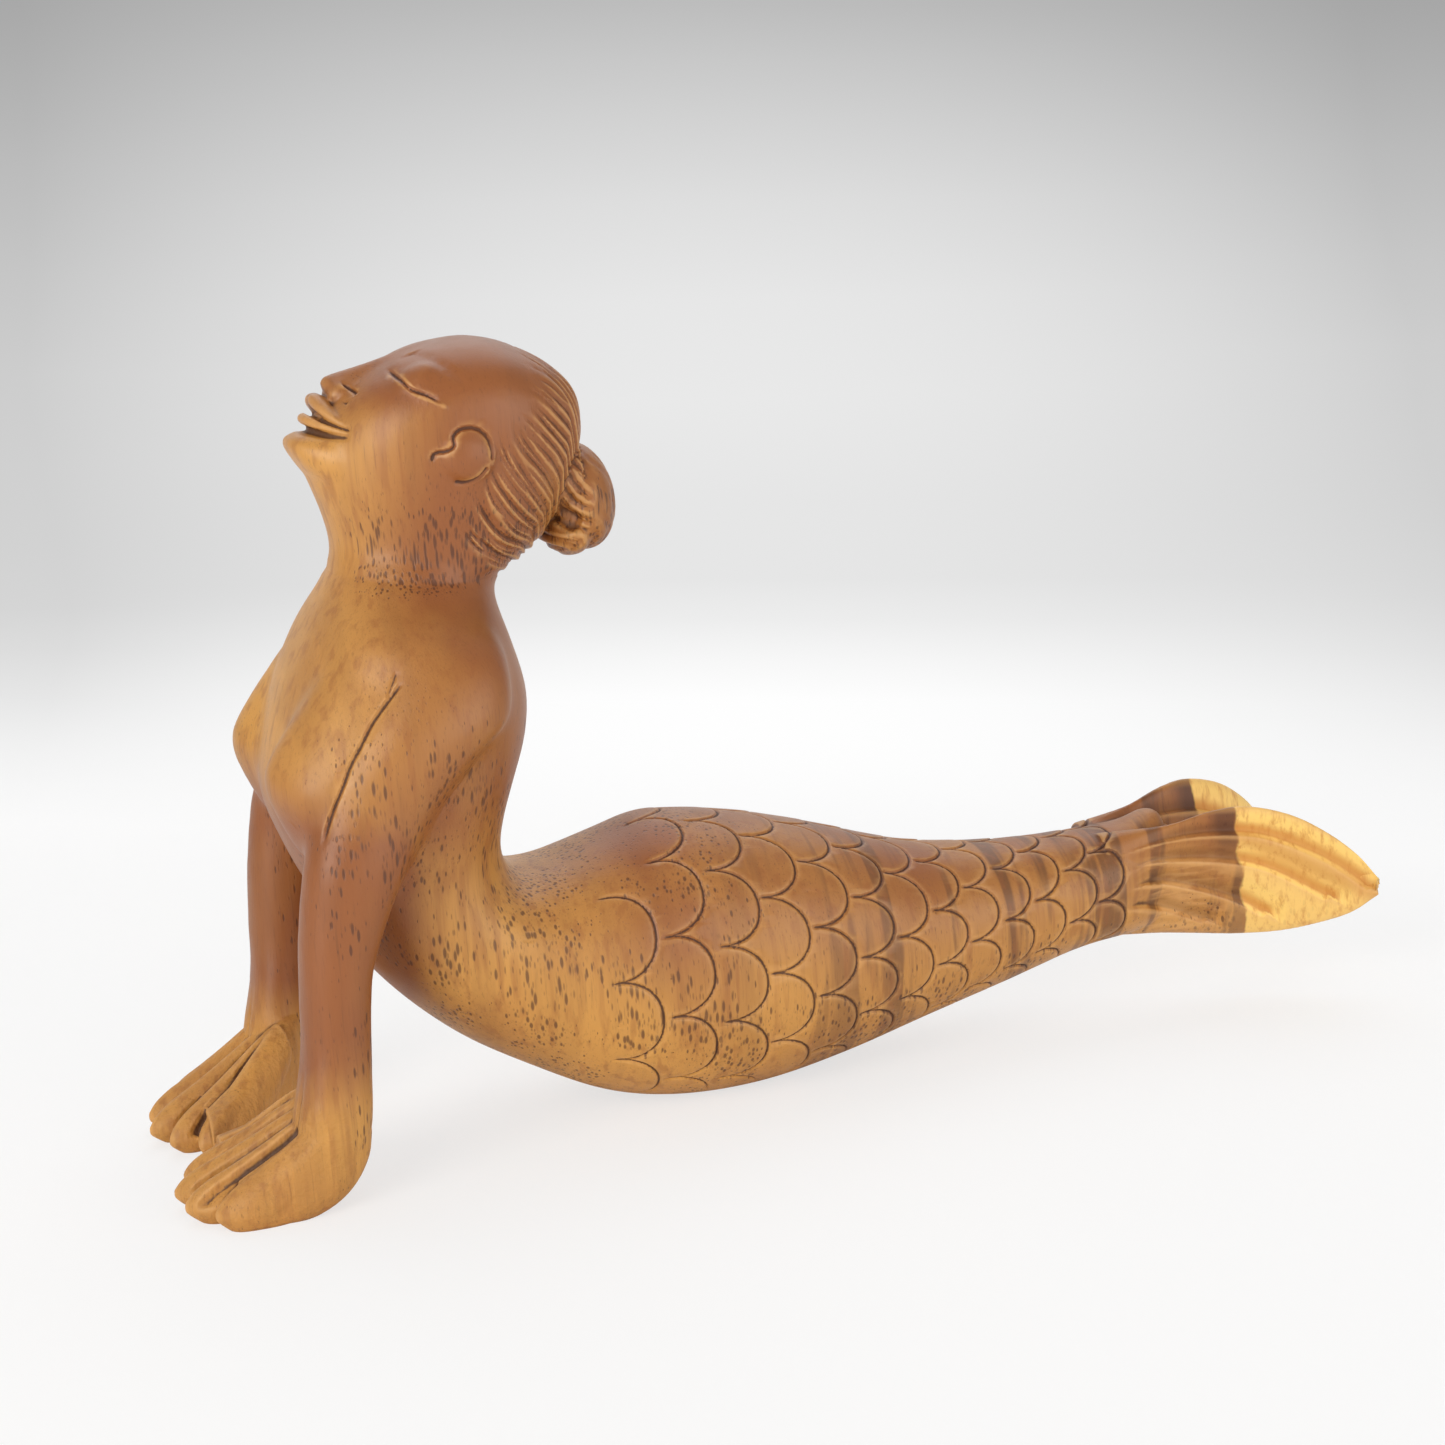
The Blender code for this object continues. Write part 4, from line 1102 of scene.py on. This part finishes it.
# %% Floor and backdrop
WALL_AT, CURVE, WALL_HIGH, CARD_HALF = 1.05, 0.35, 1.2, 3
AHEAD = Vector((math.sin(CAMERA_YAW), math.cos(CAMERA_YAW), 0))
ACROSS = Vector((AHEAD.y, -AHEAD.x, 0))
bm = bmesh.new()
bmesh.ops.create_circle(bm, cap_ends=True, segments=96, radius=60.0)
floor = new_object("floor", bm)
bm = bmesh.new()
curve_from = AHEAD * (WALL_AT - CURVE)
just_over = Vector((0, 0, 0.0005))
foot = [bm.verts.new(curve_from + ACROSS * side + just_over) for side in (-CARD_HALF, CARD_HALF)]
swept = bmesh.ops.spin(bm, geom=[*foot, bm.edges.new(foot)], cent=curve_from + Vector((0, 0, CURVE)),
                       axis=-ACROSS, angle=-math.pi / 2, steps=32)["geom_last"]
top = [part for part in swept if isinstance(part, bmesh.types.BMEdge)]
raised = bmesh.ops.extrude_edge_only(bm, edges=top)["geom"]
raised = [part for part in raised if isinstance(part, bmesh.types.BMVert)]
bmesh.ops.translate(bm, vec=(0, 0, WALL_HIGH), verts=raised)
backdrop = new_object("backdrop", bm)
backdrop.data.shade_smooth()
print("backdrop stands", WALL_AT, "m ahead")

# %% [markdown]
# ## The card's paint
#
# In the photograph the card turns from white near the figure to grey above and at both sides, so
# it is painted by the distance run along it and the distance from its middle line. Near the figure
# it is partly lit, so the contact shadow stays. Rays other than the camera's meet plain white
# card, which throws light up at the belly.
# The grey that falls off from the middle is a painted pool of light, and the card glows with it for the
# camera, though it is no lamp.

# %% The card's paint
CARD_RUN = 1.5
card = bpy.data.materials.new("card_painted_light_pool")
card.use_nodes = True
tree = card.node_tree
tree.nodes.clear()
spot = wire(tree, "TexCoord").outputs["Object"]


def along(direction):
    return wire(tree, "VectorMath", {0: spot, 1: direction},
                operation="DOT_PRODUCT").outputs["Value"]


def greys(stops):
    """The card's colour along its run, from (metres, grey of 0 to 255)."""
    painted = [(metres / CARD_RUN, linear("#" + f"{grey:02X}" * 3)) for metres, grey in stops]
    share = math_node("DIVIDE", run, CARD_RUN)
    return wire(tree, "ValToRGB", {0: share}, stops=painted).outputs["Color"]


run, aside = along(AHEAD + Vector((0, 0, 1))), along(ACROSS)
run = add_times(aside, add_times(fade_in(run, 0.6, 0.95), -0.26, 0.35), run)
reach = add_times(math_node("MINIMUM", run, 1.0), 0.17, 0.22)
from_middle = math_node("ABSOLUTE", math_node("DIVIDE", aside, reach))
from_middle = math_node("MINIMUM", math_node("POWER", from_middle, 2.0), 1.0)
# A painted pool of light: white near the figure, shading to grey above and at the sides.
middle = greys([(0.31, 255), (0.407, 254), (0.483, 247), (0.569, 237), (0.67, 230), (0.827, 230),
                (0.957, 233), (1.066, 231), (1.162, 222), (1.231, 210), (1.278, 200),
                (1.318, 189), (1.42, 168)])
edge = greys([(0.20, 255), (0.30, 243), (0.40, 230), (0.50, 220), (0.62, 213), (0.76, 210),
              (0.90, 208), (1.0, 205), (1.1, 198), (1.2, 187), (1.3, 171), (1.42, 150)])
painted = layer(from_middle, middle, edge)
lit = wire(tree, "BsdfDiffuse", {"Color": linear("#F8F8F8")}).outputs[0]
# The card glows with this painted light for the camera, though it is no lamp.
painted_pool_glow = wire(tree, "Emission", {"Color": painted, "Strength": 1.0}).outputs[0]


def mix_shaders(share, below, above):
    return wire(tree, "MixShader", {0: share, 1: below, 2: above}).outputs[0]


def straight_ray():
    """1 for what the camera sees, straight or through glass."""
    rays = wire(tree, "LightPath").outputs
    return either(rays["Is Camera Ray"], rays["Is Transmission Ray"])


seen = mix_shaders(add_times(fade_in(run, 0.10, 0.40), 0.32, 0.68), lit, painted_pool_glow)
wire(tree, "OutputMaterial", {"Surface": mix_shaders(straight_ray(), lit, seen)})
for piece in (floor, backdrop):
    piece.data.materials.append(card)
print("card paint with", len(tree.nodes), "nodes")

# %% [markdown]
# ## Lamps
#
# Soft light comes from large squares: one from the upper left in front, a weaker one low in front
# on the right, and one above and behind that puts a pale sheen on the upward faces of the tail.
# The room adds a weak white light from all sides.

# %% Lamps and world
TARGET = drawn(-10, 70)
WARM, COOL = (1.0, 0.96, 0.90), (0.95, 0.97, 1.0)


def soft_box(name, at, size, power, colour):
    lamp = bpy.data.lights.new(name, "AREA")
    lamp.size = size
    lamp.energy = power
    lamp.color = colour
    obj = bpy.data.objects.new(name, lamp)
    obj.location = at
    obj.rotation_euler = (TARGET - Vector(at)).to_track_quat("-Z", "Y").to_euler()
    bpy.context.scene.collection.objects.link(obj)
    return obj


lamps = [soft_box("key", (-0.95, -0.70, 0.50), 0.7, 8.5, WARM),
         soft_box("fill", (0.60, -0.95, 0.14), 0.9, 6.5, WARM),
         soft_box("sky", (0.20, 0.55, 0.95), 1.0, 4.0, COOL)]
world = bpy.data.worlds.new("studio")
bpy.context.scene.world = world
world.use_nodes = True
tree = world.node_tree
tree.nodes.clear()
white = {"Color": (1, 1, 1, 1)}
room = wire(tree, "Background", {**white, "Strength": 0.40}).outputs[0]
wall = wire(tree, "Background", {**white, "Strength": 1.0}).outputs[0]
wire(tree, "OutputWorld", {"Surface": mix_shaders(straight_ray(), room, wall)})
bpy.context.scene.view_settings.view_transform = "Standard"
print("lamps:", [lamp.name for lamp in lamps])
